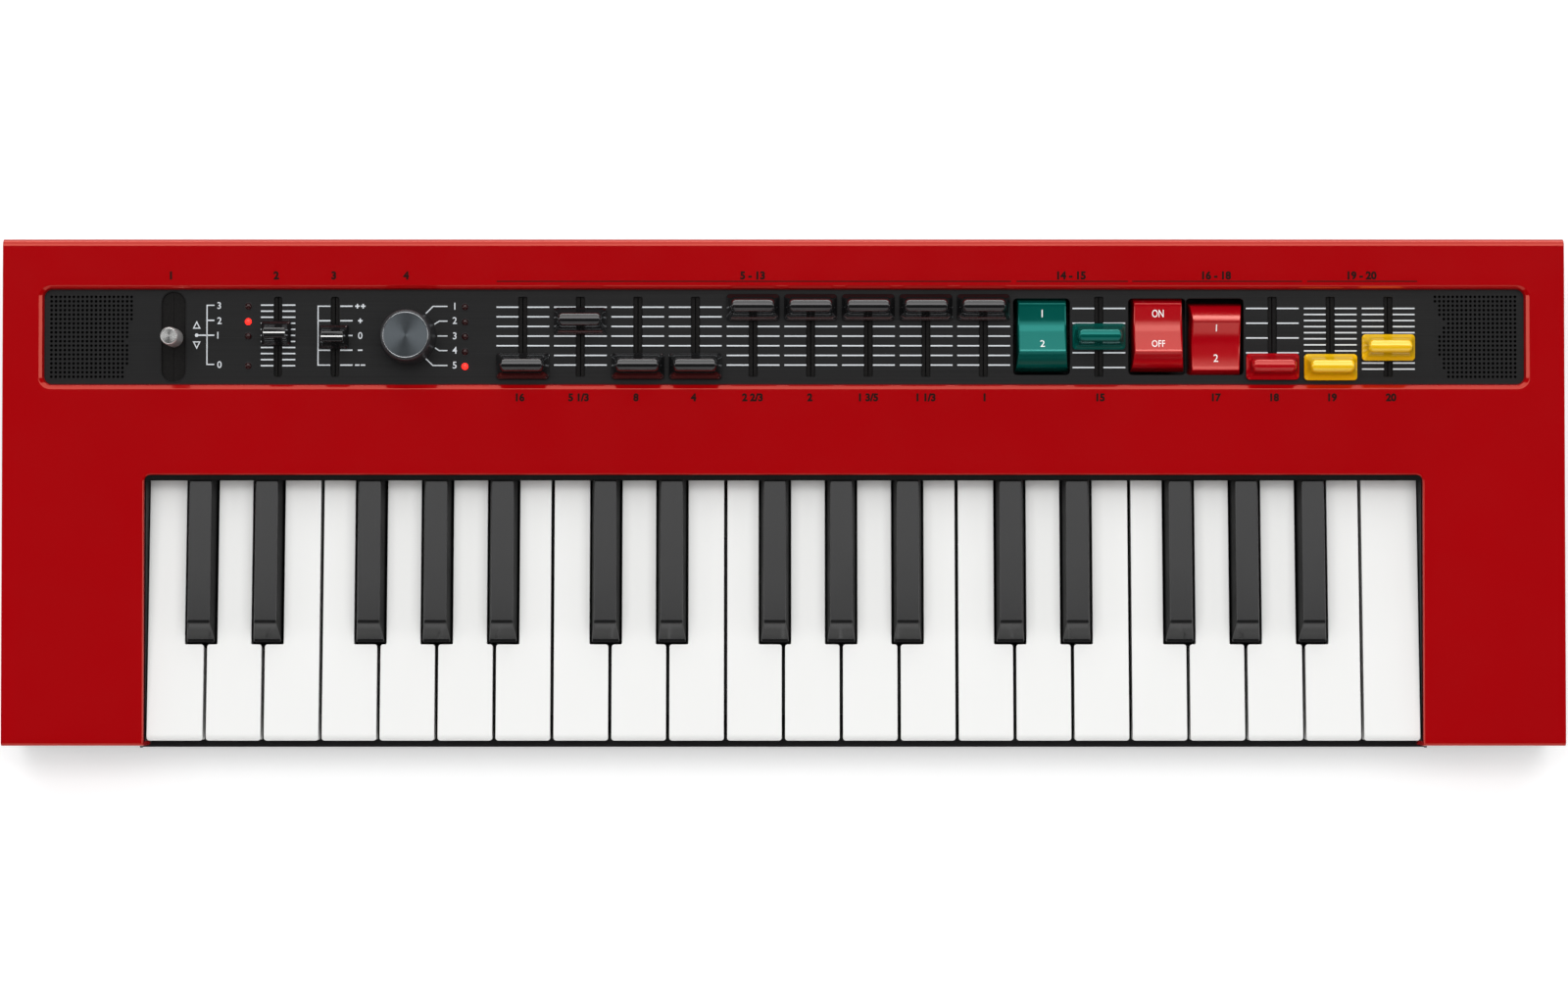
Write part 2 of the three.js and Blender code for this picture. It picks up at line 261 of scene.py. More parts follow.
def lathe(profile, n=48, cx=0.0, cy=0.0):
    """(radius, height) points turned about Z. Both ends on the axis."""
    s, rings = Shape(), []
    for r, z in profile:
        if r < 1e-6:
            rings.append([s.ring([(cx, cy, z)])[0]] * n)
        else:
            rings.append(s.ring([(cx + r * math.cos(2 * math.pi * k / n), cy + r * math.sin(2 * math.pi * k / n), z) for k in range(n)]))
    s.loft(rings)
    return s


def circle(cx, cy, r, n=24):
    return [(cx + r * math.cos(2 * math.pi * k / n), cy + r * math.sin(2 * math.pi * k / n)) for k in range(n)]


def temp(shape, fn=None):
    o = bpy.data.objects.new("cutter", mesh_of("cutter", shape, fn=fn))
    bpy.context.scene.collection.objects.link(o)
    return o


def cut(base, cutter, how="DIFFERENCE"):
    """base is a temp object; the cutter is used up."""
    m = base.modifiers.new("b", "BOOLEAN")
    m.operation, m.solver, m.object = how, "EXACT", cutter
    dg = bpy.context.evaluated_depsgraph_get()
    me = bpy.data.meshes.new_from_object(base.evaluated_get(dg))
    base.modifiers.clear()
    base.data = me
    bpy.data.objects.remove(cutter)


def settled(base, name):
    """The mesh of a temp object, cleaned, and the object gone."""
    me = base.data
    bm = bmesh.new()
    bm.from_mesh(me)
    bmesh.ops.remove_doubles(bm, verts=bm.verts, dist=2e-7)
    bmesh.ops.dissolve_degenerate(bm, edges=bm.edges, dist=2e-7)
    bmesh.ops.recalc_face_normals(bm, faces=bm.faces)
    bm.to_mesh(me)
    bm.free()
    me.name = name
    bpy.data.objects.remove(base)
    return me


def bent(me, stations, drop, z0, z1):
    """Cuts the mesh at those y stations and lowers it by drop(y), fully above z1 and not at all below z0 (millimetres)."""
    bm = bmesh.new()
    bm.from_mesh(me)
    for y in stations:
        bmesh.ops.bisect_plane(bm, geom=bm.verts[:] + bm.edges[:] + bm.faces[:], dist=1e-7, plane_co=(0, y / 1000, 0), plane_no=(0, 1, 0))
    for v in bm.verts:
        y, z = v.co.y * 1000, v.co.z * 1000
        k = min(1.0, max(0.0, (z - z0) / (z1 - z0)))
        v.co.z -= drop(y) * k / 1000
    bm.normal_update()
    bm.to_mesh(me)
    bm.free()
    return me


# ------------------------------------------------------------------ materials
class Mat:
    def __init__(self, name, **sockets):
        self.m = bpy.data.materials.new(name)
        self.m.use_nodes = True
        self.t = self.m.node_tree
        self.b = self.t.nodes["Principled BSDF"]
        for k, v in sockets.items():
            self.b.inputs[k.replace("_", " ")].default_value = v
        self.co = self.t.nodes.new("ShaderNodeTexCoord").outputs["Object"]

    def node(self, kind, **values):
        n = self.t.nodes.new(kind)
        for k, v in values.items():
            if k in n.inputs.keys() or k.replace("_", " ") in n.inputs.keys():
                n.inputs[k if k in n.inputs.keys() else k.replace("_", " ")].default_value = v
            else:
                setattr(n, k, v)
        return n

    def link(self, a, b):
        self.t.links.new(a, b)

    def scaled(self, sx, sy, sz):
        m = self.node("ShaderNodeMapping")
        m.inputs["Scale"].default_value = (sx, sy, sz)
        self.link(self.co, m.inputs["Vector"])
        return m.outputs["Vector"]

    def noise(self, scale, detail=3.0, vector=None, rough=0.5):
        n = self.node("ShaderNodeTexNoise", Scale=scale, Detail=detail, Roughness=rough)
        self.link(vector or self.co, n.inputs["Vector"])
        return n.outputs["Fac"]

    def spread(self, fac, lo, hi, socket, at=(0.35, 0.65)):
        r = self.node("ShaderNodeMapRange")
        for k, v in zip(("From Min", "From Max", "To Min", "To Max"), (*at, lo, hi)):
            r.inputs[k].default_value = v
        self.link(fac, r.inputs["Value"])
        self.link(r.outputs["Result"], self.b.inputs[socket])
        return r.outputs["Result"]

    def tint(self, fac, c0, c1, at=(0.3, 0.7)):
        r = self.node("ShaderNodeValToRGB")
        e = r.color_ramp.elements
        e[0].position, e[1].position = at
        e[0].color, e[1].color = (*c0, 1), (*c1, 1)
        self.link(fac, r.inputs["Fac"])
        self.link(r.outputs["Color"], self.b.inputs["Base Color"])

    def bump(self, fac, strength, distance):
        n = self.node("ShaderNodeBump", Strength=strength, Distance=distance)
        self.link(fac, n.inputs["Height"])
        self.link(n.outputs["Normal"], self.b.inputs["Normal"])


def plastic(name, color, vary=0.06, rough=0.3, rough_vary=0.02, grain=0.02, grain_scale=9000.0, blotch=60.0, spec=None, **sockets):
    m = Mat(name, **sockets)
    if spec:
        m.b.inputs["Specular IOR Level"].default_value = spec[0]
        m.b.inputs["Specular Tint"].default_value = (*spec[1:], 1.0)
    lo = [c * (1 - vary) for c in color]
    hi = [min(1.0, c * (1 + vary)) for c in color]
    m.tint(m.noise(14.0, 2.0), lo, hi)
    m.spread(m.noise(blotch, 3.0), rough - rough_vary, rough + rough_vary, "Roughness")
    m.bump(m.noise(grain_scale, 2.0), grain, 0.00002)
    return m.m


RED = plastic("red_case", (0.385, 0.0006, 0.0022), vary=0.02, rough=0.10, rough_vary=0.01, grain=0.015, grain_scale=5200.0, spec=(1.0, 1.0, 0.32, 0.24), IOR=1.8)
# duller, slightly darker copy of the case red for the walls and outer side roundings, and a darker, duller copy for the
# flat top: painted shade
RED_WALL_SHADE = plastic("red_case_wall_painted_shade", (0.37, 0.0010, 0.0026), vary=0.02, rough=0.24, rough_vary=0.015, grain=0.02, grain_scale=5200.0, spec=(0.25, 1, 1, 1))
RED_TOP_SHADE = plastic("red_case_top_painted_shade", (0.338, 0.0009, 0.0027), vary=0.02, rough=0.10, rough_vary=0.01, grain=0.015, grain_scale=5200.0, spec=(0.5, 1.0, 0.5, 0.45))
WHITE = plastic("white_key", (0.80, 0.80, 0.789), vary=0.006, rough=0.22, rough_vary=0.012, grain=0.008, grain_scale=2600.0, blotch=20.0)
KEY_BLACK = plastic("black_key", (0.0105, 0.0105, 0.0108), vary=0.06, rough=0.12, rough_vary=0.01, grain=0.015, grain_scale=4200.0, spec=(0.7, 1, 1, 1))
# darker, matte copy of the key black for the keys' sides and low faces: painted shade
KEY_SIDE_SHADE = plastic("black_side_painted_shade", (0.0045, 0.0045, 0.0047), vary=0.1, rough=0.62, rough_vary=0.04, grain=0.3, grain_scale=5200.0, spec=(0.10, 1, 1, 1))
CAP_BLACK = plastic("black_cap", (0.0085, 0.0085, 0.009), vary=0.08, rough=0.13, rough_vary=0.01, grain=0.015, spec=(0.86, 1, 1, 1), IOR=1.6)
GREEN = plastic("green_cap", (0.0008, 0.072, 0.058), vary=0.03, rough=0.14, rough_vary=0.01, grain=0.015, spec=(1.0, 0.16, 0.95, 0.85), IOR=1.65)
CAP_RED = plastic("red_cap", (0.42, 0.0008, 0.0060), vary=0.03, rough=0.14, rough_vary=0.01, grain=0.015, spec=(1.0, 1.0, 0.42, 0.36), IOR=1.85)
YELLOW = plastic("yellow_cap", (0.95, 0.545, 0.003), vary=0.03, rough=0.14, rough_vary=0.01, grain=0.015, spec=(1.0, 1.0, 1.0, 0.55), IOR=1.95)
BASE = plastic("base_black", (0.0105, 0.0105, 0.011), vary=0.12, rough=0.5, rough_vary=0.05, grain=0.5, grain_scale=2400.0, spec=(0.35, 1, 1, 1))
SOCKET = plastic("socket_black", (0.007, 0.007, 0.0074), vary=0.1, rough=0.3, rough_vary=0.04, grain=0.05)
PRINT_DARK = plastic("print_dark", (0.015, 0.005, 0.0045), vary=0.1, rough=0.5, rough_vary=0.04, grain=0.02, spec=(0.06, 1, 1, 1))
PRINT_WHITE = plastic("print_white", (0.62, 0.65, 0.68), vary=0.02, rough=0.45, rough_vary=0.04, grain=0.02, spec=(0.3, 1, 1, 1))
CAP_PRINT = plastic("cap_print", (0.88, 0.88, 0.87), vary=0.02, rough=0.4, rough_vary=0.04, grain=0.02, spec=(0.3, 1, 1, 1))


def panel_material():
    m = Mat("panel_black", Specular_IOR_Level=0.22)
    streak = m.noise(1.0, 4.0, m.scaled(9.0, 5200.0, 5200.0), 0.6)
    m.tint(streak, (0.0074, 0.0074, 0.0076), (0.0138, 0.0138, 0.0142), at=(0.25, 0.75))
    m.spread(m.noise(1.0, 3.0, m.scaled(16.0, 3600.0, 3600.0), 0.55), 0.36, 0.56, "Roughness")
    m.bump(streak, 0.25, 0.00003)
    return m.m


def felt_material(name, c):
    m = Mat(name, Specular_IOR_Level=0.1)
    n = m.noise(5200.0, 6.0)
    m.tint(n, [v * 0.55 for v in c], [v * 1.5 for v in c])
    m.spread(m.noise(800.0, 3.0), 0.8, 0.98, "Roughness")
    m.bump(n, 0.7, 0.0001)
    return m.m


def rubber_material():
    m = Mat("rubber")
    n = m.noise(2200.0, 4.0)
    m.tint(n, (0.011, 0.011, 0.0115), (0.02, 0.02, 0.0205))
    m.spread(m.noise(300.0, 3.0), 0.6, 0.8, "Roughness")
    m.bump(n, 0.35, 0.00005)
    return m.m


def spun_metal(name, color, rough, rings):
    """Turned metal about the piece's own Z axis: fine rings and a fan of light."""
    m = Mat(name, Metallic=1.0, Anisotropic=0.82)
    sep = m.node("ShaderNodeSeparateXYZ")
    m.link(m.co, sep.inputs[0])
    comb = m.node("ShaderNodeCombineXYZ")
    m.link(sep.outputs[0], comb.inputs[0])
    m.link(sep.outputs[1], comb.inputs[1])
    ln = m.node("ShaderNodeVectorMath", operation="LENGTH")
    m.link(comb.outputs[0], ln.inputs[0])
    c2 = m.node("ShaderNodeCombineXYZ")
    m.link(ln.outputs["Value"], c2.inputs[0])
    ring = m.noise(rings, 4.0, c2.outputs[0], 0.7)
    m.tint(ring, [v * 0.86 for v in color], [min(1.0, v * 1.12) for v in color])
    m.spread(ring, rough - 0.04, rough + 0.06, "Roughness")
    m.bump(ring, 0.12, 0.00001)
    tan = m.node("ShaderNodeTangent", direction_type="RADIAL", axis="Z")
    m.link(tan.outputs[0], m.b.inputs["Tangent"])
    return m.m


def metal(name, color, rough, grain=0.05, scale=3000.0):
    m = Mat(name, Metallic=1.0)
    m.tint(m.noise(400.0, 3.0), [v * 0.9 for v in color], [min(1.0, v * 1.1) for v in color])
    m.spread(m.noise(900.0, 3.0), rough - 0.05, rough + 0.05, "Roughness")
    m.bump(m.noise(scale, 3.0), grain, 0.00002)
    return m.m


def lamp(name, color, glow):
    m = Mat(name, Transmission_Weight=0.35, IOR=1.49)
    m.tint(m.noise(1500.0, 2.0), [c * 0.8 for c in color], color)
    m.b.inputs["Roughness"].default_value = 0.18
    if glow:
        m.b.inputs["Emission Color"].default_value = (1.0, 0.012, 0.008, 1)
        m.b.inputs["Emission Strength"].default_value = glow
    return m.m


PANEL = panel_material()
FELT = felt_material("felt_black", (0.0072, 0.0070, 0.0069))
SLOT_FELT = felt_material("slot_felt", (0.0115, 0.0110, 0.0108))
# near-black speaker cloth; it also darkens the walls of the grille holes as painted shade
CLOTH_AND_HOLE_SHADE = felt_material("speaker_cloth_and_hole_shade", (0.002, 0.002, 0.002))
RUBBER = rubber_material()
SPUN_DARK = spun_metal("knob_top", (0.19, 0.215, 0.235), 0.30, 26000.0)
SPUN_SILVER = spun_metal("lever_top", (0.80, 0.80, 0.79), 0.26, 22000.0)
STEEL = metal("steel", (0.62, 0.62, 0.61), 0.28)
RING = metal("bright_ring", (0.62, 0.64, 0.66), 0.22)
SATIN = plastic("lever_side", (0.60, 0.60, 0.59), vary=0.05, rough=0.34, rough_vary=0.05, grain=0.1, Metallic=0.55)
KNOB_SIDE = plastic("knob_side", (0.042, 0.043, 0.046), vary=0.1, rough=0.36, rough_vary=0.04, grain=0.1, Metallic=0.4)
LED_ON = lamp("led_lit", (0.9, 0.03, 0.02), 3.2)
LED_OFF = lamp("led_dark", (0.035, 0.006, 0.006), 0.0)

# ------------------------------------------------------------------ camera and light
scene = bpy.context.scene
scene.view_settings.view_transform = "Standard"
cam_data = bpy.data.cameras.new("camera")
cam = bpy.data.objects.new("camera", cam_data)
scene.collection.objects.link(cam)
cam_data.lens, cam_data.sensor_width = 101.6, 36.0
TILT = math.radians(7.0)
target = Vector((0.0002, -0.0024, 0.0412))
cam.location = target + 1.5 * Vector((0, -math.sin(TILT), math.cos(TILT)))
cam.rotation_euler = (TILT, 0, 0)
scene.camera = cam


def area(name, loc, size, power, glossy=True, look=(0, 0, 0.03)):
    d = bpy.data.lights.new(name, "AREA")
    d.shape, d.size, d.size_y, d.energy = "RECTANGLE", size[0], size[1], power
    o = bpy.data.objects.new(name, d)
    o.location = loc
    o.rotation_euler = (Vector(look) - Vector(loc)).to_track_quat("-Z", "Y").to_euler()
    o.visible_camera = False
    o.visible_glossy = glossy
    scene.collection.objects.link(o)


def dome(name, a, b, dist, width, level, glossy=True, side=0.0):
    """A light that spans the angles a to b from straight up towards the rear (or towards the side, if one is named)."""
    mid, half = math.radians((a + b) / 2), math.radians((b - a) / 2)
    deep = 2 * dist * math.tan(half)
    loc = (side * dist * math.sin(mid), 0.0, 0.035 + dist * math.cos(mid)) if side else (0.0, dist * math.sin(mid), 0.035 + dist * math.cos(mid))
    size = (deep, width) if side else (width, deep)
    area(name, loc, size, level * math.pi * deep * width, glossy, (0, 0, 0.035))


dome("overhead", -28.0, 16.0, 2.6, 3.4, 2.35, False)
dome("rear_high", 3.8, 11.0, 2.5, 3.2, 1.05)
dome("rear_upper", 11.0, 30.0, 2.5, 3.2, 1.9)
dome("rear_mid", 30.0, 68.0, 2.5, 3.2, 1.25)
dome("rear_low", 74.0, 86.0, 2.5, 3.2, 3.6)
dome("front_fill", -79.0, -50.0, 2.5, 2.8, 0.6)
dome("left_light", 54.0, 76.0, 2.5, 1.8, 1.5, True, -1.0)
dome("right_light", 54.0, 76.0, 2.5, 1.8, 1.5, True, 1.0)
world = bpy.data.worlds.new("studio")
scene.world = world
world.use_nodes = True
world.node_tree.nodes["Background"].inputs["Color"].default_value = (1, 1, 1, 1)
world.node_tree.nodes["Background"].inputs["Strength"].default_value = 0.012


def floor():
    m = Mat("floor", Roughness=0.9, Emission_Color=(1, 1, 1, 1), Emission_Strength=0.28)
    m.tint(m.noise(3.0, 2.0), (0.82, 0.82, 0.82), (0.84, 0.84, 0.84))
    s = Shape()
    s.cap(s.ring([(-16000, -16000, 0), (16000, -16000, 0), (16000, 16000, 0), (-16000, 16000, 0)]))
    o = bpy.data.objects.new("floor", mesh_of("floor", s))
    scene.collection.objects.link(o)
    o.data.materials.append(m.m)


floor()

# ------------------------------------------------------------------ lettering: plain numbers and signs only
_glyphs = {}


def glyph_mesh(text, bold=0.018):
    if (text, bold) not in _glyphs:
        cu = bpy.data.curves.new("glyph", "FONT")
        cu.body, cu.size, cu.offset, cu.resolution_u = text, 1.0, bold, 3
        o = bpy.data.objects.new("glyph", cu)
        scene.collection.objects.link(o)
        bpy.context.view_layer.update()
        me = bpy.data.meshes.new_from_object(o.evaluated_get(bpy.context.evaluated_depsgraph_get()))
        v = np.array([p.co[:2] for p in me.vertices], float)
        f = [tuple(p.vertices) for p in me.polygons]
        bpy.data.objects.remove(o)
        bpy.data.meshes.remove(me)
        _glyphs[(text, bold)] = (v, f)
    return _glyphs[(text, bold)]


_CAP = None


def write(shape, text, cx, cy, cap, place, align="center", bold=0.008, thick=0.03, stretch=1.0):
    """Adds a line of text with that capital height. place(x, y, lift) gives the point in space."""
    global _CAP
    if _CAP is None:
        v, _ = glyph_mesh("1", 0.0)
        _CAP = v[:, 1].max() - v[:, 1].min()
    v, f = glyph_mesh(text, bold)
    k = cap / _CAP
    lo, hi = v.min(0) * k, v.max(0) * k
    lo[0] *= stretch
    hi[0] *= stretch
    ox = cx - (lo[0] + hi[0]) / 2 if align == "center" else cx - lo[0] if align == "left" else cx - hi[0]
    oy = cy - cap / 2
    pts = [(ox + a * k * stretch, oy + b * k) for a, b in v]
    top = shape.ring([place(a, b, thick) for a, b in pts])
    for t in f:
        shape.f.append(tuple(top[i] for i in t))


def line(shape, x0, x1, y0, y1, place, thick=0.03):
    shape.cap(shape.ring([place(x0, y0, thick), place(x1, y0, thick), place(x1, y1, thick), place(x0, y1, thick)]))


def stroke(shape, pts, w, place, thick=0.03):
    """A drawn line through points, with mitred corners."""
    p = [np.array(q, float) for q in pts]
    left, right = [], []
    for i in range(len(p)):
        d0 = p[i] - p[i - 1] if i else p[1] - p[0]
        d1 = p[i + 1] - p[i] if i < len(p) - 1 else d0
        d0, d1 = d0 / np.linalg.norm(d0), d1 / np.linalg.norm(d1)
        n0, n1 = np.array([-d0[1], d0[0]]), np.array([-d1[1], d1[0]])
        m = (n0 + n1) / (1 + float(n0 @ n1))
        left.append(p[i] + m * w / 2)
        right.append(p[i] - m * w / 2)
    a = shape.ring([place(*q, thick) for q in left])
    b = shape.ring([place(*q, thick) for q in right])
    shape.loft([b, a], closed=False)


# ------------------------------------------------------------------ top case
def top_case():
    front, rear = yz(0, h_at(0, SPLIT)), yz(LEN, h_at(LEN, SPLIT))
    prof = rounded([front, rear, yz(LEN, 0), yz(0, 0)], [0, 0, 2.5, 1.5], 6)
    base = temp(bar(prof, -W / 2, W / 2, 0.25, keep=lambda m, n: n[1] < -0.9, seg=4))
    cav = [yz(2.2, h_at(2.2, 10)), yz(LEN - 2.2, h_at(LEN - 2.2, 10)), yz(LEN - 2.2, -2.5), yz(2.2, -2.5)]
    for x0, x1 in ((-262.8, -219.0), (219.0, 262.8)):
        cut(base, temp(bar(cav, x0, x1, 0.0, seg=1)))
    mid = [yz(98, h_at(98, 10)), yz(LEN - 2.2, h_at(LEN - 2.2, 10)), yz(LEN - 2.2, -2.5), yz(98, -2.5)]
    cut(base, temp(bar(mid, -219.3, 219.3, 0.0, seg=1)))
    under = [yz(84, -60), yz(100, -60), yz(100, -2.5), yz(84, -2.5)]
    cut(base, temp(bar(under, -KEY_HALF, KEY_HALF, 0.0, seg=1)))

    def flared(outline, r, deep, seg=6, up=2.0):
        s, rings = Shape(), []
        rings.append(s.ring([(x, u, up) for x, u in inset(outline, -(r + up))]))
        for k in range(seg + 1):
            t = math.pi / 2 * k / seg
            rings.append(s.ring([(x, u, -r * (1 - math.cos(t))) for x, u in inset(outline, -r * (1 - math.sin(t)))]))
        rings.append(s.ring([(x, u, -deep) for x, u in outline]))
        s.cap(rings[0], True)
        s.cap(rings[-1])
        s.loft(rings)
        return s

    # the recess: a flat bevel with softened edges over a short upright wall
    inner = rounded(rect(-251.15, 251.6, 122.7, 154.85), 2.7, 8)
    outer = rounded(rect(-253.0, 253.45, 120.85, 156.35), 4.4, 8)
    s, rings = Shape(), []
    # (how far in from the outer edge, slope in degrees)
    far = np.array([0.0, 0.12, 0.24, 0.36, 0.6, 0.9, 1.15, 1.3, 1.38, 1.46, 1.54, 1.7, 1.85])
    steep = np.array([2.0, 12.0, 24.0, 32.0, 34.0, 34.0, 35.0, 38.0, 50.0, 64.0, 74.0, 77.0, 78.0])
    drop = np.concatenate([[0.0], np.cumsum(np.diff(far) * np.tan(np.radians((steep[1:] + steep[:-1]) / 2)))])
    stations = [(1 + 2.0 / 1.85, 2.0)] + [(1 - q / 1.85, -d) for q, d in zip(far, drop)] + [(0.0, -8.0)]
    for f, h in stations:
        rings.append(s.ring([(a[0] + (b[0] - a[0]) * f, a[1] + (b[1] - a[1]) * f, h) for a, b in zip(inner, outer)]))
    s.cap(rings[0], True)
    s.cap(rings[-1])
    s.loft(rings)
    cut(base, temp(s, P))
    well = rounded(rect(-KEY_HALF, KEY_HALF, -30.0, LIP_U), [0, 0, 2.2, 2.2], 8)
    cut(base, temp(flared(well, 0.8, 60.0, 5), P))
    cut(base, temp(prism([(x, y) for x, y in rect(-140, 140, 78, 96)], SPLIT - 4, 34, 0)))
    me = settled(base, "top_case_shell")
    o = piece("top_case_shell", me, RED, "case", "top_case", "red_case", angle=32)
    o.data.materials.append(RED_WALL_SHADE)
    o.data.materials.append(RED_TOP_SHADE)
    # faces pick a copy of the red by direction: the flat top gets the darker, duller red and the walls and outer side
    # roundings the duller red, as painted shade
    up = Vector((0.0, -SA, CA))
    for f in o.data.polygons:
        if f.normal.dot(up) > 0.99978:
            f.material_index = 2
        if f.normal.z < 0.25 or (abs(f.center.x) > 0.2647 and f.normal.z < 0.97):
            f.material_index = 1


top_case()


# ------------------------------------------------------------------ black liner of the key well and felt over the keys
def liner():
    s = Shape()
    # strip under the rear lip
    z0, z1, y0, y1 = 38.95, 0, 2.3, 4.6
    prof = [(y0, z0), (y1, z0), (y1, z0 + 2.2), (y0, z0 + 1.75)]
    s.add(bar(rounded(prof, [0.15, 0, 0, 0.25], 3), -216.6, 216.6, 0.1))
    piece("key_felt_strip", s, FELT, "case", angle=30)
    # black liners on the cheeks' inner walls, in the darker matte black: partly a real liner, partly painted shade
    t = Shape()
    for sx in (-1, 1):
        prof = rounded([yz(1.6, -19.0), yz(93.0, -29.0), yz(93.0, -2.4), yz(1.6, -2.4)], [0, 0, 0.5, 0.6], 3)
        b = bar(prof, 216.42, 216.78, 0.08)
        t.add(b.moved(lambda x, y, z: (sx * x, y, z)))
    piece("key_well_liner", t, KEY_SIDE_SHADE, "case", slot="black_base", angle=30)
    # black lip of the tray under the fronts of the keys
    lip = bar(rounded([(-84.3, 7.0), (-84.3, 13.9), (-86.5, 13.7), (-86.1, 7.0)][::-1], [0.3, 0.5, 0.3, 0.2], 4), -220.6, 220.6, 0.3)
    piece("front_lip", lip, BASE, "case", slot="black_base", angle=40)


liner()


# ------------------------------------------------------------------ control panel
PH = PANEL_H


def slot_outline(x, w, length=SLOT_LEN, seg=4, r=None):
    r = w / 2 - 0.55 if r is None else r
    return rounded(rect(x - w / 2, x + w / 2, SLOT_U - length / 2, SLOT_U + length / 2), r, seg)


GRILLE = 1.51
ROCKER_SHIFT = {9: 0.4, 11: 0.6, 12: 0.7}
SLIDE_SHIFT = {10: 0.1, 13: 0.35, 14: 0.5, 15: 0.55}
FAINT_R = [0, 0, 1, 1, 1, 2, 3, 2, 2, 1, 1, 1, 1, 1, 2, 2, 2, 3, 3]
FAINT_L = [0, 0, 0, 0, 0, 0, 1, 1, 1, 1, 2, 1, 1, 1, 1, 1, 2, 2, 2]


def panel():
    s = Shape()
    outer = s.ring([(x, u, PH) for x, u in rounded(rect(-256, 256, 118.6, 159), 2, 3)])
    outlines = [slot_outline(-171.8, 2.7), slot_outline(-152.4, 2.8)]
    for k, x in enumerate(COLS):
        if k in (9, 11, 12):
            outlines.append(rounded(rect(x - 9.45, x + 9.45 + ROCKER_SHIFT[k], SLOT_U - 13.0, SLOT_U + 13.0), 1.4, 5))
        else:
            outlines.append(slot_outline(x + SLIDE_SHIFT.get(k, 0.0), 3.05, r=0.45))
    outlines.append(slot_outline(LEVER_X, 8.0, 30.6, 12, 3.98))
    outlines.append(circle(KNOB_X, SLOT_U, 3.6, 24))
    half = GRILLE * 19 / 2
    boxes = [(-235.2, SLOT_U, "L"), (235.1, SLOT_U, "R")]
    holes = []
    low_holes = []
    for o in outlines:
        cw = list(reversed(o))
        a = s.ring([(x, u, PH) for x, u in inset(o, -0.12)])
        b = s.ring([(x, u, PH - 0.12) for x, u in o])
        c = s.ring([(x, u, PH - 1.0) for x, u in o])
        s.loft([a, b, c])
        holes.append(list(reversed(a)))
        low_holes.append(list(reversed(c)))
    edge = []
    for cx, cu, side in boxes:
        # square field of cells, each with its own hole
        for j in range(19):
            for i in range(19):
                x, u = cx + (i - 9) * GRILLE, cu + (9 - j) * GRILLE
                q = s.ring([(x + dx * GRILLE / 2, u + du * GRILLE / 2, PH) for dx, du in ((1, 1), (-1, 1), (-1, -1), (1, -1))])
                faint = (i >= 19 - FAINT_L[j]) if side == "L" else (i < FAINT_R[j])
                r, deep = (0.32, 0.14) if faint else (0.48, 1.0)
                n = 12
                c = s.ring([(x + r * math.cos(2 * math.pi * (k + 0.5) / n), u + r * math.sin(2 * math.pi * (k + 0.5) / n), PH) for k in range(n)])
                for k in range(4):
                    for m in range(3):
                        a = k * 3 + m
                        s.f.append((q[k], c[a], c[(a + 1) % n]))
                    s.f.append((q[k], c[(k * 3 + 3) % n], q[(k + 1) % 4]))
                d = s.ring([(x + r * math.cos(2 * math.pi * (k + 0.5) / n), u + r * math.sin(2 * math.pi * (k + 0.5) / n), PH - deep) for k in range(n)])
                s.loft([c, d])
                if faint:
                    s.cap(d)
        # the field's rim, with a point at every cell corner
        rim = []
        g = GRILLE
        for k in range(19):
            rim.append((cx - half + k * g, cu - half))
        for k in range(19):
            rim.append((cx + half, cu - half + k * g))
        for k in range(19):
            rim.append((cx + half - k * g, cu + half))
        for k in range(19):
            rim.append((cx - half, cu + half - k * g))
        edge.append(list(reversed(s.ring([(x, u, PH) for x, u in rim]))))
    s.fill([outer, *holes, *edge], lambda p: (p[0], p[1]))
    rim = s.ring([(p[0], p[1], PH - 1.0) for p in (s.v[i] for i in outer)])
    s.loft([rim, outer])
    o = piece("control_panel_plate", s, PANEL, "case", "control_panel", "black_panel", slope=True, angle=30, weighted=False)
    o.data.materials.append(CLOTH_AND_HOLE_SHADE)
    # the walls of the grille holes get the near-black cloth: painted shade in the holes
    up = Vector((0.0, -SA, CA))
    for f in o.data.polygons:
        if abs(f.normal.dot(up)) < 0.5 and abs(f.center.x) > 0.22 and abs(f.center.x) < 0.25:
            f.material_index = 1

    # near-black cloth behind the two grilles, darker than cloth would be so the holes read as shade: partly painted
    # shade
    c = Shape()
    for cx, cu, _ in boxes:
        c.box(cx - half, cx + half, cu - half, cu + half, PH - 2.2, PH - 1.7)
    piece("speaker_cloth_and_hole_shade", c, CLOTH_AND_HOLE_SHADE, "case", slope=True)

    # felt dust lips under the slots
    lips = Shape()
    for x, w in [(-171.8, 2.7), (-152.4, 2.8)] + [(x + SLIDE_SHIFT.get(k, 0.0), 3.05) for k, x in enumerate(COLS) if k not in (9, 11, 12)]:
        for sx in (-1, 1):
            x0, x1 = x + sx * 0.16, x + sx * (w / 2 + 1.0)
            lips.box(min(x0, x1), max(x0, x1), SLOT_U - 14.6, SLOT_U + 14.6, PH - 1.55, PH - 1.02)
    for sx in (-1, 1):
        x0, x1 = LEVER_X + sx * 0.04, LEVER_X + sx * 5.2
        lips.box(min(x0, x1), max(x0, x1), SLOT_U - 16.4, SLOT_U + 16.4, PH - 1.5, PH - 1.02)
    piece("slot_dust_lips", lips, SLOT_FELT, "case", slope=True)

    # dark board deep under the slots
    b = Shape()
    b.box(-200.0, 220.0, 121.5, 156.0, PH - 18.5, PH - 17.3)
    piece("slider_board", b, SOCKET, "case", slope=True)
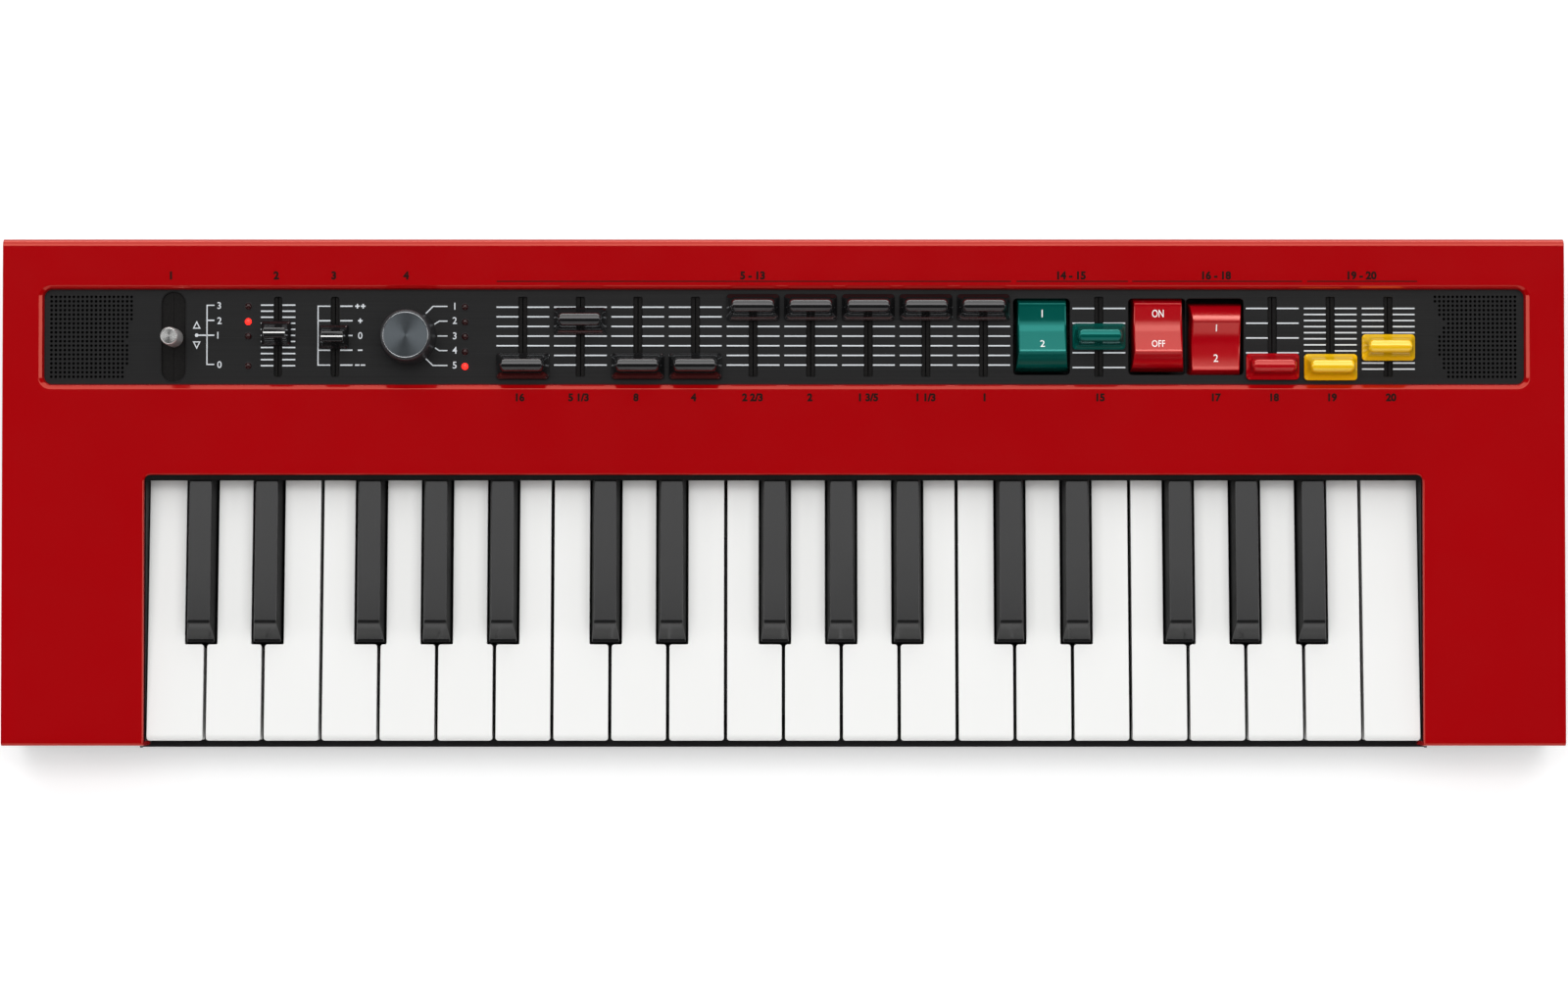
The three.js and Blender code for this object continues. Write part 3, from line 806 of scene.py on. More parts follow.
    # the pots' bodies, one under each slot, with a track the stem runs in
    pots = Shape()
    for x in [-171.8, -152.4] + [x + SLIDE_SHIFT.get(k, 0.0) for k, x in enumerate(COLS) if k not in (9, 11, 12)]:
        for sx in (-1, 1):
            pots.box(min(x + sx * 1.3, x + sx * 3.6), max(x + sx * 1.3, x + sx * 3.6), SLOT_U - 17, SLOT_U + 15.5, PH - 17.2, PH - 3.2)
    piece("slider_pots", pots, SOCKET, "case", slope=True)
    # narrow raised rim of the lever slot
    rim = Shape()
    o1, o2 = slot_outline(LEVER_X, 8.9, 31.5, 12, 4.42), slot_outline(LEVER_X, 8.45, 31.05, 12, 4.2)
    a = rim.ring([(x, u, PH) for x, u in o1])
    b = rim.ring([(x, u, PH + 0.09) for x, u in inset(o1, 0.08)])
    c = rim.ring([(x, u, PH + 0.09) for x, u in inset(o2, -0.05)])
    d = rim.ring([(x, u, PH) for x, u in o2])
    rim.loft([a, b, c, d])
    piece("lever_slot_rim", rim, PANEL, "case", "", "black_panel", slope=True)


panel()


# ------------------------------------------------------------------ print on the panel and on the red top
def on_panel(x, u, lift):
    return P(x, u, PH + lift)


def on_top(x, u, lift):
    return P(x, u, lift)


def printing():
    s = Shape()
    lw = 0.38

    def hline(x0, x1, y, w=0.46):
        line(s, px(x0), px(x1), pu(y) - w / 2, pu(y) + w / 2, on_panel)

    # rotary lever scale
    stroke(s, [(px(219), pu(311.1)), (px(211.5), pu(311.1)), (px(211.5), pu(371.5)), (px(219), pu(371.5))], lw, on_panel)
    hline(211.5, 219, 326.5)
    hline(201, 219, 341.7)
    s.cap(s.ring([on_panel(x, u, 0.031) for x, u in circle(px(201), pu(341.7), 0.62, 16)]))
    for y, up in ((331, 1), (352, -1)):
        cx, cu = px(201), pu(y)
        tri = [(cx - 1.35, cu - 1.35 * up), (cx + 1.35, cu - 1.35 * up), (cx, cu + 1.35 * up)]
        if up < 0:
            tri = [tri[1], tri[0], tri[2]]
        a = s.ring([on_panel(x, u, 0.03) for x, u in tri])
        b = s.ring([on_panel(x, u, 0.03) for x, u in inset(tri, 0.36)])
        s.loft([a, b])
    for t, y in (("3", 311.3), ("2", 326.8), ("1", 341.7), ("0", 371.7)):
        write(s, t, px(222), pu(y), 2.25, on_panel, "left")
    # volume scale
    for k in range(11):
        y = 310.9 + 6.19 * k
        hline(266.4, 279.3, y)
        hline(288.4, 301.6, y)
    # octave scale
    stroke(s, [(px(337.4), pu(312)), (px(324.8), pu(312)), (px(324.8), pu(372.2)), (px(337.4), pu(372.2))], lw, on_panel)
    for t, y in (("++", 312), ("+", 326.9), ("0", 342), ("-", 357), ("--", 372.2)):
        if y not in (312, 372.2):
            hline(324.8, 337.4, y)
        hline(347.4, 360, y)
        if t == "0":
            write(s, t, px(367.8), pu(y), 2.25, on_panel)
            continue
        n = len(t)
        for k in range(n):
            cx = px(367.8) + (k - (n - 1) / 2) * 1.95
            half = 0.78
            line(s, cx - half, cx + half, pu(y) - 0.23, pu(y) + 0.23, on_panel, 0.032)
            if t[0] == "+":
                line(s, cx - 0.23, cx + 0.23, pu(y) - half, pu(y) + half, on_panel, 0.034)
    # wave knob leaders and numbers
    for pts in ([(434.7, 319.6), (442, 312.2), (456.8, 312.2)], [(443.5, 330.5), (448.4, 327.3), (456.8, 327.3)], [(446.7, 342.5), (456.8, 342.5)],
                [(444.2, 354.7), (448.4, 357.4), (456.8, 357.4)], [(434.7, 365.6), (442, 372.6), (456.8, 372.6)]):
        stroke(s, [(px(a), pu(b)) for a, b in pts], lw, on_panel)
    for t, y in zip("12345", (312, 326.7, 342.3, 357, 372.2)):
        write(s, t, px(464.2), pu(y), 2.25, on_panel)
    # slider scales
    def scale(x, ys, gap=4.6, out=26.9):
        for y in ys:
            hline(x - out, x - gap, y)
            hline(x + gap, x + out, y)

    xs = [533.5, 592.2, 650.7, 709.4, 768.4, 827.2, 886, 944.9, 1003.6]
    for x in xs:
        scale(x + 0.2, [313 + 9.86 * k for k in range(7)])
    for x in (1121.3, 1298.2):
        scale(x, [314.3 + 15.1 * k for k in range(5)])
    for x in (1357.3, 1416.5):
        scale(x, [314.3 + 6.2 * k for k in range(11)])
    piece("panel_print", s, PRINT_WHITE, "case", slope=False, weighted=False)

    t = Shape()
    for text, x in (("1", 175.7), ("2", 283), ("3", 341.6), ("4", 415.2), ("5 - 13", 768.1), ("14 - 15", 1092.9), ("16 - 18", 1240.7), ("19 - 20", 1388.9)):
        write(t, text, px(x), pu(281.2), 2.45, on_top, bold=0.05)
    for x0, x1, label in ((507.3, 1031.4, 768.1), (1036.8, 1150.5, 1092.9), (1154.7, 1327.9, 1240.7), (1332.7, 1445.1, 1388.9)):
        line(t, px(x0), px(x1), pu(287.2) - 0.19, pu(287.2) + 0.19, on_top)
    for text, x in zip(("16", "5 1/3", "8", "4", "2 2/3", "2", "1 3/5", "1 1/3", "1", "15", "17", "18", "19", "20"),
                       (531.6, 591, 649.4, 708, 768, 826.4, 886.2, 944.7, 1004.2, 1122.3, 1240.3, 1299.5, 1358.4, 1418)):
        write(t, text, px(x), pu(405.6), 2.35, on_top, bold=0.05)
    piece("case_print", t, PRINT_DARK, "case", slope=False, weighted=False)


printing()


def leds():
    for name, x, ys, lit in (("speed", 253.6, (312.2, 327.8, 342.7, 373.0), 1), ("wave", 474.7, (313.0, 328.4, 343.3, 358.7, 373.6), 4)):
        for k, y in enumerate(ys):
            cx, cu = px(x), pu(y)
            on = k == lit
            dome = lathe([(r, PH + z) for r, z in ((0, -0.6), (1.12, -0.6), (1.12, 0.05), (1.03, 0.36), (0.8, 0.6), (0.43, 0.74), (0, 0.79))], 24, cx, cu)
            piece(f"{name}_led_{k + 1}", dome, LED_ON if on else LED_OFF, "case", slope=True)
            ring = lathe([(1.13, PH - 0.2), (1.36, PH - 0.2), (1.36, PH + 0.03), (1.28, PH + 0.06), (1.13, PH + 0.02), (1.13, PH - 0.2)], 24, cx, cu)
            piece(f"{name}_led_seat_{k + 1}", ring, SOCKET, "case", slope=True)


leds()

# ------------------------------------------------------------------ slider caps
REST = {"volume_slider": 12, "octave_slider": 10, "depth_slider": 10, "length_slider": 0, "distortion_slider": 0, "reverb_slider": 6.9}
for _k, _r in enumerate([0, 15.4, 0, 0, 20, 20, 20, 20, 20], 1):
    REST[f"footage_slider_{_k}"] = _r
BIG = [(0.0, 8.85, 4.3, 1.1), (0.18, 9.02, 4.5, 1.25), (0.7, 9.02, 4.5, 1.25), (0.92, 8.98, 4.45, 1.25), (1.08, 8.9, 4.36, 1.25), (1.28, 8.74, 4.16, 1.25), (1.8, 8.44, 3.68, 1.25),
       (2.6, 8.12, 3.2, 1.2), (3.6, 7.86, 2.82, 1.4), (4.6, 7.7, 2.56, 1.6), (5.4, 7.62, 2.4, 1.75)]
SMALL = [(0.0, 4.85, 4.05, 0.6), (0.18, 5.0, 4.2, 0.7), (0.8, 5.0, 4.2, 0.7), (1.05, 4.9, 4.05, 0.7), (1.6, 4.62, 3.5, 0.7), (2.6, 4.3, 2.75, 0.65),
         (4.0, 4.04, 2.15, 0.6), (5.4, 3.9, 1.86, 0.55), (6.8, 3.84, 1.76, 0.5)]
for _k in range(11):
    _t = math.pi / 2 * _k / 10
    BIG.append((5.8 + 2.2 * math.sin(_t), 6.6 + 1.0 * math.cos(_t), max(0.1, 2.32 * math.cos(_t)), 1.8))
for _k in range(5):
    _t = math.pi / 2 * _k / 4
    SMALL.append((7.2 + 0.38 * math.sin(_t), 3.44 + 0.38 * math.cos(_t), 1.34 + 0.38 * math.cos(_t), 0.45))


def cap(levels, cx, cu, h0, stem, ridge=0.4, reach=2.4):
    s, rings = Shape(), []
    for h, hx, hu, r in levels:
        back = ridge * min(1.0, max(0.0, (h - 1.0) / 2.0))
        rings.append(s.ring([(x, u + back, h0 + h) for x, u in rounded(rect(cx - hx, cx + hx, cu - hu, cu + hu), min(r, hu * 0.92), 5)]))
    s.cap(rings[0], True)
    s.cap(rings[-1])
    s.loft(rings)
    s.box(cx - stem / 2, cx + stem / 2, cu - reach, cu + reach, PH - 6.5, h0 + 0.4)
    return s


def sliders():
    cols = {"volume_slider": -171.8, "octave_slider": -152.4, "depth_slider": COLS[10], "length_slider": COLS[13], "distortion_slider": COLS[14],
            "reverb_slider": COLS[15]}
    for k in range(9):
        cols[f"footage_slider_{k + 1}"] = COLS[k]
    for node, x in cols.items():
        small = node in ("volume_slider", "octave_slider")
        mat, slot = (CAP_BLACK, "black_caps")
        if node == "depth_slider":
            mat, slot = GREEN, "green_plastic"
        elif node == "length_slider":
            mat, slot = CAP_RED, "red_plastic"
        elif node in ("distortion_slider", "reverb_slider"):
            mat, slot = YELLOW, "yellow_plastic"
        u = SLOT_U - 10 + REST[node]
        if small:
            x, u = (x - 0.5, u - 0.7) if node == "volume_slider" else (x - 0.35, u)
        elif node in ("depth_slider", "length_slider", "distortion_slider", "reverb_slider"):
            k, du = {"depth_slider": (10, 0.0), "length_slider": (13, -0.2), "distortion_slider": (14, -0.4), "reverb_slider": (15, -0.6)}[node]
            x, u = x + SLIDE_SHIFT[k], u + du
        piece(node + "_cap", cap(SMALL if small else BIG, x, u, PH + 0.4, 1.6 if small else 1.8, -0.3 if small else 0.2, 1.7 if small else 2.4), mat, node, node, slot, slope=True, angle=50, weighted=False)
        if small:
            # a thin pale bar laid along the top of each small cap, in the cap print colour
            mark = prism(rounded(rect(x - 3.72, x + 3.72, u - 0.54, u - 0.06), 0.2, 3), PH + 7.9, PH + 8.06, 0.06, 0.0, 2)
            piece(node + "_line", mark, CAP_PRINT, node, slope=True)


sliders()

# ------------------------------------------------------------------ rockers
PIV = PH - 11.8


def _rocker_profile():
    """Heights over the axis: a dished top that turns up into two narrow ridges, then the steep end faces."""
    q = np.linspace(0.0, 12.2, 1221)
    slope = 15.0 * np.tanh(q / 3.1)
    slope = np.where(q > 7.45, np.interp(q, [7.45, 7.68, 8.15, 8.78], [14.8, 29.0, 29.0, -55.0]), slope)
    t = np.tan(np.radians(slope))
    h = 12.62 + np.concatenate([[0.0], np.cumsum((t[1:] + t[:-1]) / 2 * (q[1] - q[0]))])
    return np.append(q, [12.5, 12.55]), np.append(h, [h[-1] - 0.9, h[-1] - 1.7])


ROCKER_Q, ROCKER_H = _rocker_profile()


def dished(v):
    return float(np.interp(abs(v), ROCKER_Q, ROCKER_H))


def rockers():
    for node, x, tilt, mat, slot, words in (
        ("vibrato_rocker", COLS[9] + ROCKER_SHIFT[9], -12, GREEN, "green_plastic", ("1", "2")),
        ("percussion_rocker", COLS[11] + ROCKER_SHIFT[11], -12, CAP_RED, "red_plastic", ("ON", "OFF")),
        ("percussion_type_rocker", COLS[12] + ROCKER_SHIFT[12], 12, CAP_RED, "red_plastic", ("1", "2")),
    ):
        c, sn = math.cos(math.radians(tilt)), math.sin(math.radians(tilt))

        def place(lx, v, h):
            return P(x + lx, SLOT_U + v * c - h * sn, PIV + v * sn + h * c)

        b, rings = Shape(), []
        half = [0, 0.8, 1.6, 2.4, 3.2, 4.0, 4.8, 5.6, 6.4, 7.0, 7.45, 7.58, 7.7, 7.92, 8.15, 8.25, 8.35, 8.45, 8.55, 8.65, 8.75, 9.9, 11.1, 12.2, 12.5, 12.55]
        for v in [-q for q in reversed(half)] + half[1:]:
            top = dished(v)
            wide = 8.10 + (14.4 - top) * 0.10
            soft = max(0.0, 1 - (v / 7.4) ** 2) if abs(v) < 7.4 else 0.0
            ex, ez = 0.50 + 0.55 * soft ** 0.8, 0.50 + 0.12 * soft
            sect = [(-wide - 0.35, 3.2), (-wide, top - ez)]
            for k in range(1, 6):
                q = math.pi / 2 * k / 5
                sect.append((-wide + ex * (1 - math.cos(q)), top - ez * (1 - math.sin(q))))
            sect += [(-a, h) for a, h in reversed(sect)]
            rings.append(b.ring([place(a, v, h) for a, h in sect]))
        b.loft(rings)
        b.cap(rings[0])
        b.cap(rings[-1], True)
        piece(node + "_key", b, mat, node, node, slot, angle=48, weighted=False)

        # its two marks, laid on the dished top
        def on_key(lx, v, lift):
            return place(lx, v, dished(v) + lift)

        t = Shape()
        for word, v in zip(words, (5.2, -5.4)) if tilt < 0 else zip(words, (5.8, -4.6)):
            write(t, word, 0.0, v, 2.45, on_key, thick=0.05, stretch=0.74 if len(word) > 1 else 1.0, bold=0.004)
        piece(node + "_marks", t, CAP_PRINT, node, weighted=False)


rockers()


# ------------------------------------------------------------------ wave knob and rotary lever, turned about their own axes
def turned(node, x, h, ahead=0.0):
    return Matrix.Translation(Vector(P(x, SLOT_U + ahead, h)) * 0.001) @ Matrix.Rotation(A, 4, "X")


def local_piece(name, shape, mat, node, matrix, replaced=None, slot=None, angle=35, weighted=True):
    return piece(name, mesh_of(name, shape), mat, node, replaced, slot, matrix=matrix, angle=angle, weighted=weighted)


def knob():
    m = turned("wave_knob", KNOB_X - 0.3, PH)
    body = lathe([(0, -9.5), (2.9, -9.5), (2.9, 0.5), (9.2, 0.5), (9.42, 0.7), (9.45, 1.3), (9.38, 1.7), (9.2, 2.1), (9.02, 3.4), (8.86, 5.6), (8.74, 8.6),
                  (8.66, 9.8), (8.46, 10.35), (8.1, 10.68), (7.78, 10.76), (7.74, 10.5), (0, 10.5)], 96)
    local_piece("wave_knob_body", body, KNOB_SIDE, "wave_knob", m, "wave_knob", "knob_metal", 40)
    ring = lathe([(7.44, 10.45), (7.78, 10.45), (7.78, 10.7), (7.75, 10.78), (7.68, 10.83), (7.6, 10.84), (7.52, 10.81), (7.46, 10.74), (7.44, 10.66), (7.44, 10.45)], 128)
    local_piece("wave_knob_ring", ring, RING, "wave_knob", m, angle=60, weighted=False)
    disc = lathe([(0, 10.46), (7.5, 10.46), (7.5, 10.66), (7.42, 10.72), (0, 10.72)], 96)
    local_piece("wave_knob_disc", disc, SPUN_DARK, "wave_knob", m, slot="knob_metal")


knob()


def lever():
    m = turned("rotary_speed_lever", LEVER_X + 0.6, LEVER_AXIS_H, -0.6)
    tip = (59.8 - Z0 - SLOT_U * SA) / CA
    up = tip - LEVER_AXIS_H
    stick = lathe([(0, -3), (2.4, -3), (3.2, -1.2), (3.2, 1.2), (1.9, 3.2), (1.9, up - 13.2), (0, up - 13.2)], 32)
    local_piece("rotary_lever_stick", stick, STEEL, "rotary_speed_lever", m, "rotary_speed_lever", "lever_metal")
    head = lathe([(0, up - 13.4), (2.8, up - 13.4), (3.12, up - 13.0), (3.15, up - 12.2), (3.06, up - 4.0), (2.98, up - 1.0), (2.9, up - 0.45), (2.74, up - 0.2),
                  (2.6, up - 0.26), (2.56, up - 0.5), (0, up - 0.5)], 64)
    local_piece("rotary_lever_head", head, SATIN, "rotary_speed_lever", m, slot="lever_metal")
    face = lathe([(0, up - 0.6), (2.55, up - 0.6), (2.55, up - 0.22), (2.45, up - 0.13), (0, up - 0.1)], 64)
    local_piece("rotary_lever_face", face, SPUN_SILVER, "rotary_speed_lever", m, slot="lever_metal")


lever()

# ------------------------------------------------------------------ keys
AFTER = {"C": -1.47, "D": 1.43, "F": -2.9, "G": 0.0, "A": 2.93}
NAMES = "CDEFGAB"


def under(y):
    return WHITE_LOW if y < 16 else PIVOT_Z if y > 20 else WHITE_LOW + (y - 16)


def white_key(name, x0, x1, n0, n1):
    pts, rad = [(x0, WHITE_FRONT), (x1, WHITE_FRONT)], [0.9, 0.9]
    if n1 < x1:
        pts += [(x1, NOTCH_FRONT), (n1, NOTCH_FRONT), (n1, KEY_REAR)]
        rad += [0.9, 0.4, 0]
    else:
        pts += [(x1, KEY_REAR)]
        rad += [0]
    if n0 > x0:
        pts += [(n0, KEY_REAR), (n0, NOTCH_FRONT), (x0, NOTCH_FRONT)]
        rad += [0, 0.4, 0.9]
    else:
        pts += [(x0, KEY_REAR)]
        rad += [0]
    # extra stations where the underside changes
    line_y = [20.0, 16.0]

    def dense(poly):
        out = []
        for i, p in enumerate(poly):
            q = poly[(i + 1) % len(poly)]
            out.append(p)
            if abs(p[0] - q[0]) < 1e-6:
                ys = sorted((y for y in line_y if min(p[1], q[1]) < y < max(p[1], q[1])), reverse=p[1] > q[1])
                out += [(p[0], y) for y in ys]
        return out

    outline = dense(rounded(pts, rad, 4))

    s, rings = Shape(), []
    # the walls lean in below the top slab, as a moulded key's do
    lean = lambda k: lambda mid, n: (0.34 + (0.61 * max(0.0, -n[1]) ** 0.8 if mid[1] < WHITE_FRONT + 2 else 0.0)) * k
    foot = inset(outline, lean(1.0))
    bottom = inset(foot, 0.15)
    rings.append(s.ring([(x, y, under(y)) for x, y in bottom]))
    rings.append(s.ring([(x, y, under(y) + 0.15) for x, y in foot]))
    rings.append(s.ring([(x, y, WHITE_TOP - 2.6) for x, y in inset(outline, lean(0.62))]))
    rings.append(s.ring([(x, y, WHITE_TOP - 1.75) for x, y in inset(outline, lean(0.12))]))
    for k in range(5):
        t = math.pi / 2 * k / 4
        rings.append(s.ring([(x, y, WHITE_TOP - 0.26 * (1 - math.sin(t))) for x, y in inset(outline, 0.26 * (1 - math.cos(t)))]))
    s.loft(rings)
    s.cap(rings[-1])
    # hollow underneath
    inner = inset(outline, 1.5)
    a = s.ring([(x, y, under(y)) for x, y in inner])
    b = s.ring([(x, y, WHITE_TOP - 2.2) for x, y in inner])
    s.loft([rings[0], a, b])
    s.cap(b)
    far = 2.1

    def drop(y):
        d = min(1.0, max(0.0, (y - WHITE_FRONT) / far))
        return 1.25 * (1 - math.sqrt(max(0.0, 1 - (1 - d) ** 2)))

    stations = [WHITE_FRONT + far * k for k in (0.09, 0.18, 0.28, 0.39, 0.51, 0.64, 0.78, 0.9, 1.0)]
    return bent(mesh_of("white_" + name, s), stations, drop, WHITE_TOP - 2.6, WHITE_TOP - 0.3)


def black_key(cx):
    s, rings = Shape(), []
    hw = lambda z: 4.75 if z <= 31 else 4.75 - (z - 31) / 7.5

    # front line of the key at height z
    def fy(z):
        return float(np.interp(z, [21, 31, 32, 38.5], [BLACK_FRONT, BLACK_FRONT, -50.9, -46.1]))

    for z in (21.0, 21.2, 28.0, 31.0, 31.6, 32.4, 34.0, 36.0, 37.6):
        w = hw(z) - (0.12 if z == 21.0 else 0)
        o = rounded([(cx - w, fy(z)), (cx + w, fy(z)), (cx + w, 6.9), (cx - w, 6.9)], [0.55, 0.55, 0, 0], 4)
        rings.append(s.ring([(x, y, z) for x, y in o]))
    base = rounded([(cx - hw(38.0), fy(38.0)), (cx + hw(38.0), fy(38.0)), (cx + hw(38.0), 6.9), (cx - hw(38.0), 6.9)], [0.55, 0.55, 0, 0], 4)
    for k in range(1, 5):
        t = math.pi / 2 * k / 4
        rings.append(s.ring([(x, y, 38.5 - 0.45 * (1 - math.sin(t))) for x, y in inset(base, 0.42 * (1 - math.cos(t)))]))
    s.cap(rings[0], True)
    s.loft(rings)
    s.cap(rings[-1])
    # the tail under the case
    s.box(cx - 4.6, cx + 4.6, 6.5, KEY_REAR, PIVOT_Z, WHITE_TOP)
    edge, far = -46.1, 0.95
    drop = lambda y: 0.30 * max(0.0, 1 - max(0.0, (y - edge) / far)) ** 2
    return bent(mesh_of("black_key", s), [edge + far * k for k in (0.15, 0.35, 0.55, 0.78, 1.0)], drop, 37.2, 38.1)


def keys():
    white = [(NAMES[i % 7], 1 + i // 7, (i - 11) * PITCH) for i in range(22)]
    for i, (letter, octave, left) in enumerate(white):
        x0, x1 = left + KEY_GAP / 2, left + PITCH - KEY_GAP / 2
        before = AFTER.get(white[i - 1][0]) if i > 0 else None
        after = AFTER.get(letter) if i < 21 else None
        x0 += -0.38 if i == 0 else 0.1
        x1 -= -0.38 if i == 21 else 0.1
        n0 = x0 if before is None else left + before + NOTCH_HALF
        n1 = x1 if after is None else left + PITCH + after - NOTCH_HALF
        node = f"key_{letter}{octave}"
        piece("white_" + node, white_key(node, x0, x1, n0, n1), WHITE, node, node, "white_keys", angle=42)
        if after is not None:
            node = f"key_{letter}s{octave}"
            o = piece("black_" + node, black_key(left + PITCH + after), KEY_BLACK, node, node, "black_keys", angle=36)
            o.data.materials.append(KEY_SIDE_SHADE)
            # the sides and the faces below the white key tops get the darker matte black: painted shade
            for f in o.data.polygons:
                if abs(f.normal.x) > 0.9 or f.center.z < 0.0312:
                    f.material_index = 1


keys()


# ------------------------------------------------------------------ bottom case, feet, back and underside
FEET = [(-236, -66), (236, -66), (-236, 66), (236, 66)]
JACKS = [-96, -64, -32, 0]
SCREWS = [(-205, -70), (205, -70), (-70, -72), (70, -72), (-252, 0), (252, 0), (-205, 72), (205, 72), (-70, 74), (70, 74)]


def bottom_case():
    t = math.tan(A)
    front, rear = yz(0, h_at(0, SPLIT)), yz(LEN, h_at(LEN, SPLIT))
    top = SPLIT - 0.3
    rt = rear[0] + (SPLIT - top) * t
    prof = [(-83.9, 4.0), (84.4, 4.0), (87.37, 7.0), (87.37, rear[1] - (87.37 - rear[0]) / t), (rt, top), (front[0] + 0.3, top), (-84.6, 6.2)]
    prof = rounded(prof, [1.2, 1.0, 0.8, 0, 0, 0, 1.0], 4)
    base = temp(bar(prof, -264.7, 264.7, 1.6, keep=lambda m, n: n[1] > 0.9, seg=4))
    cut(base, temp(Shape().box(-262.5, 262.5, -82.2, 84.4, 6.2, 40)))
    cut(base, temp(Shape().box(-KEY_HALF, KEY_HALF, -95, -78, 13.5, 40)))
    wells = Shape()
    for x, y in SCREWS:
        wells.add(prism(circle(x, y, 3.6, 24), 3.0, 7.0, 0))
    cut(base, temp(wells))
    vents = Shape()
    for cx in (-180.0, 180.0):
        for k in range(9):
            vents.add(prism(rounded(rect(cx - 16 + 4 * k - 1.0, cx - 16 + 4 * k + 1.0, 18, 46), 0.95, 4), 3.0, 7.0, 0))
    cut(base, temp(vents))
    cut(base, temp(prism(rounded(rect(-66.0, 66.0, -34.0, 32.0), 3.0, 5), 3.0, 7.0, 0)))
    # jack wall in the red rear wall's cut-out
    wall = [yz(LEN - 0.3 - 2.2, h_at(LEN - 2.5, 7.0)), yz(LEN - 0.3, h_at(LEN - 0.3, top - 4)), yz(LEN - 0.3, h_at(LEN - 0.3, 33.7)), yz(LEN - 2.5, h_at(LEN - 2.5, 33.7))]
    w = temp(bar(wall, -139.7, 139.7, 0.0, seg=1))
    holes = Shape()
    for x in JACKS:
        holes.add(prism(circle(x, -25, 4.2, 32), 75, 95, 0).moved(lambda a, b, c: (a, c, -b)))
    holes.add(prism(circle(34, -25, 7.6, 40), 75, 95, 0).moved(lambda a, b, c: (a, c, -b)))
    holes.add(prism(rounded(rect(56, 68.4, -31, -19), 0.5, 3), 75, 95, 0).moved(lambda a, b, c: (a, c, -b)))
    holes.add(prism(circle(94, -25, 4.3, 32), 75, 95, 0).moved(lambda a, b, c: (a, c, -b)))
    holes.add(prism(rounded(rect(112, 124, -29.5, -20.5), 1.2, 4), 75, 95, 0).moved(lambda a, b, c: (a, c, -b)))
    cut(w, temp(holes))
    me = settled(base, "bottom_case_tray")
    piece("bottom_case_tray", me, BASE, "case", "bottom_case", "black_base", angle=32)
    piece("rear_socket_wall", settled(w, "rear_socket_wall"), BASE, "case", slot="black_base", angle=32)
    # well cups and screws
    for k, (x, y) in enumerate(SCREWS):
        cup = lathe([(3.6, 4.35), (3.62, 11.0), (0, 11.0), (0, 11.6), (4.4, 11.6), (4.4, 6.25), (3.6, 4.35)], 24, x, y)
        piece(f"screw_well_{k + 1}", cup, BASE, "case", slot="black_base")
        head = lathe([(0, 9.1), (1.6, 9.0), (2.7, 9.35), (2.95, 9.9), (2.95, 11.0), (0, 11.0)], 24, x, y)
        b = temp(head)
        cross = Shape().box(x - 1.7, x + 1.7, y - 0.32, y + 0.32, 8.0, 10.1)
        cut(b, temp(cross))
        cross = Shape().box(x - 0.32, x + 0.32, y - 1.7, y + 1.7, 8.0, 10.1)
        cut(b, temp(cross))
        piece(f"case_screw_{k + 1}", settled(b, f"case_screw_{k + 1}"), STEEL, "case")
    for k, (x, y) in enumerate(FEET):
        foot = lathe([(0, 0.45), (3.4, 0.45), (3.9, 0.0), (6.6, 0.0), (7.5, 0.35), (7.95, 1.2), (8.0, 4.2), (0, 4.2)], 48, x, y)
        piece(f"rubber_foot_{k + 1}", foot, RUBBER, "case")
    # battery cover with its latch and grip lines
    cover = prism(rounded(rect(-65.6, 65.6, -33.6, 31.6), 2.7, 5), 4.0, 6.0, 0.0, 0.35)
    base = temp(cover)
    cut(base, temp(prism(rounded(rect(-9.0, 9.0, 24.0, 33.0), 1.2, 4), 3.0, 7.0, 0)))
    grip = Shape()
    for k in range(7):
        grip.box(-30 + 0.0, 30, 2.0 + 2.2 * k, 3.0 + 2.2 * k, 3.4, 4.5)
    cut(base, temp(grip))
    piece("battery_cover", settled(base, "battery_cover"), BASE, "case", slot="black_base", angle=32)
    latch = prism(rounded(rect(-8.6, 8.6, 24.4, 31.5), 1.0, 4), 4.1, 5.9, 0.0, 0.3)
    piece("battery_latch", latch, BASE, "case", slot="black_base")
    inner = Shape().box(-255, 255, -75, 26, 8.6, 9.4)
    piece("main_board", inner, SOCKET, "case")


bottom_case()


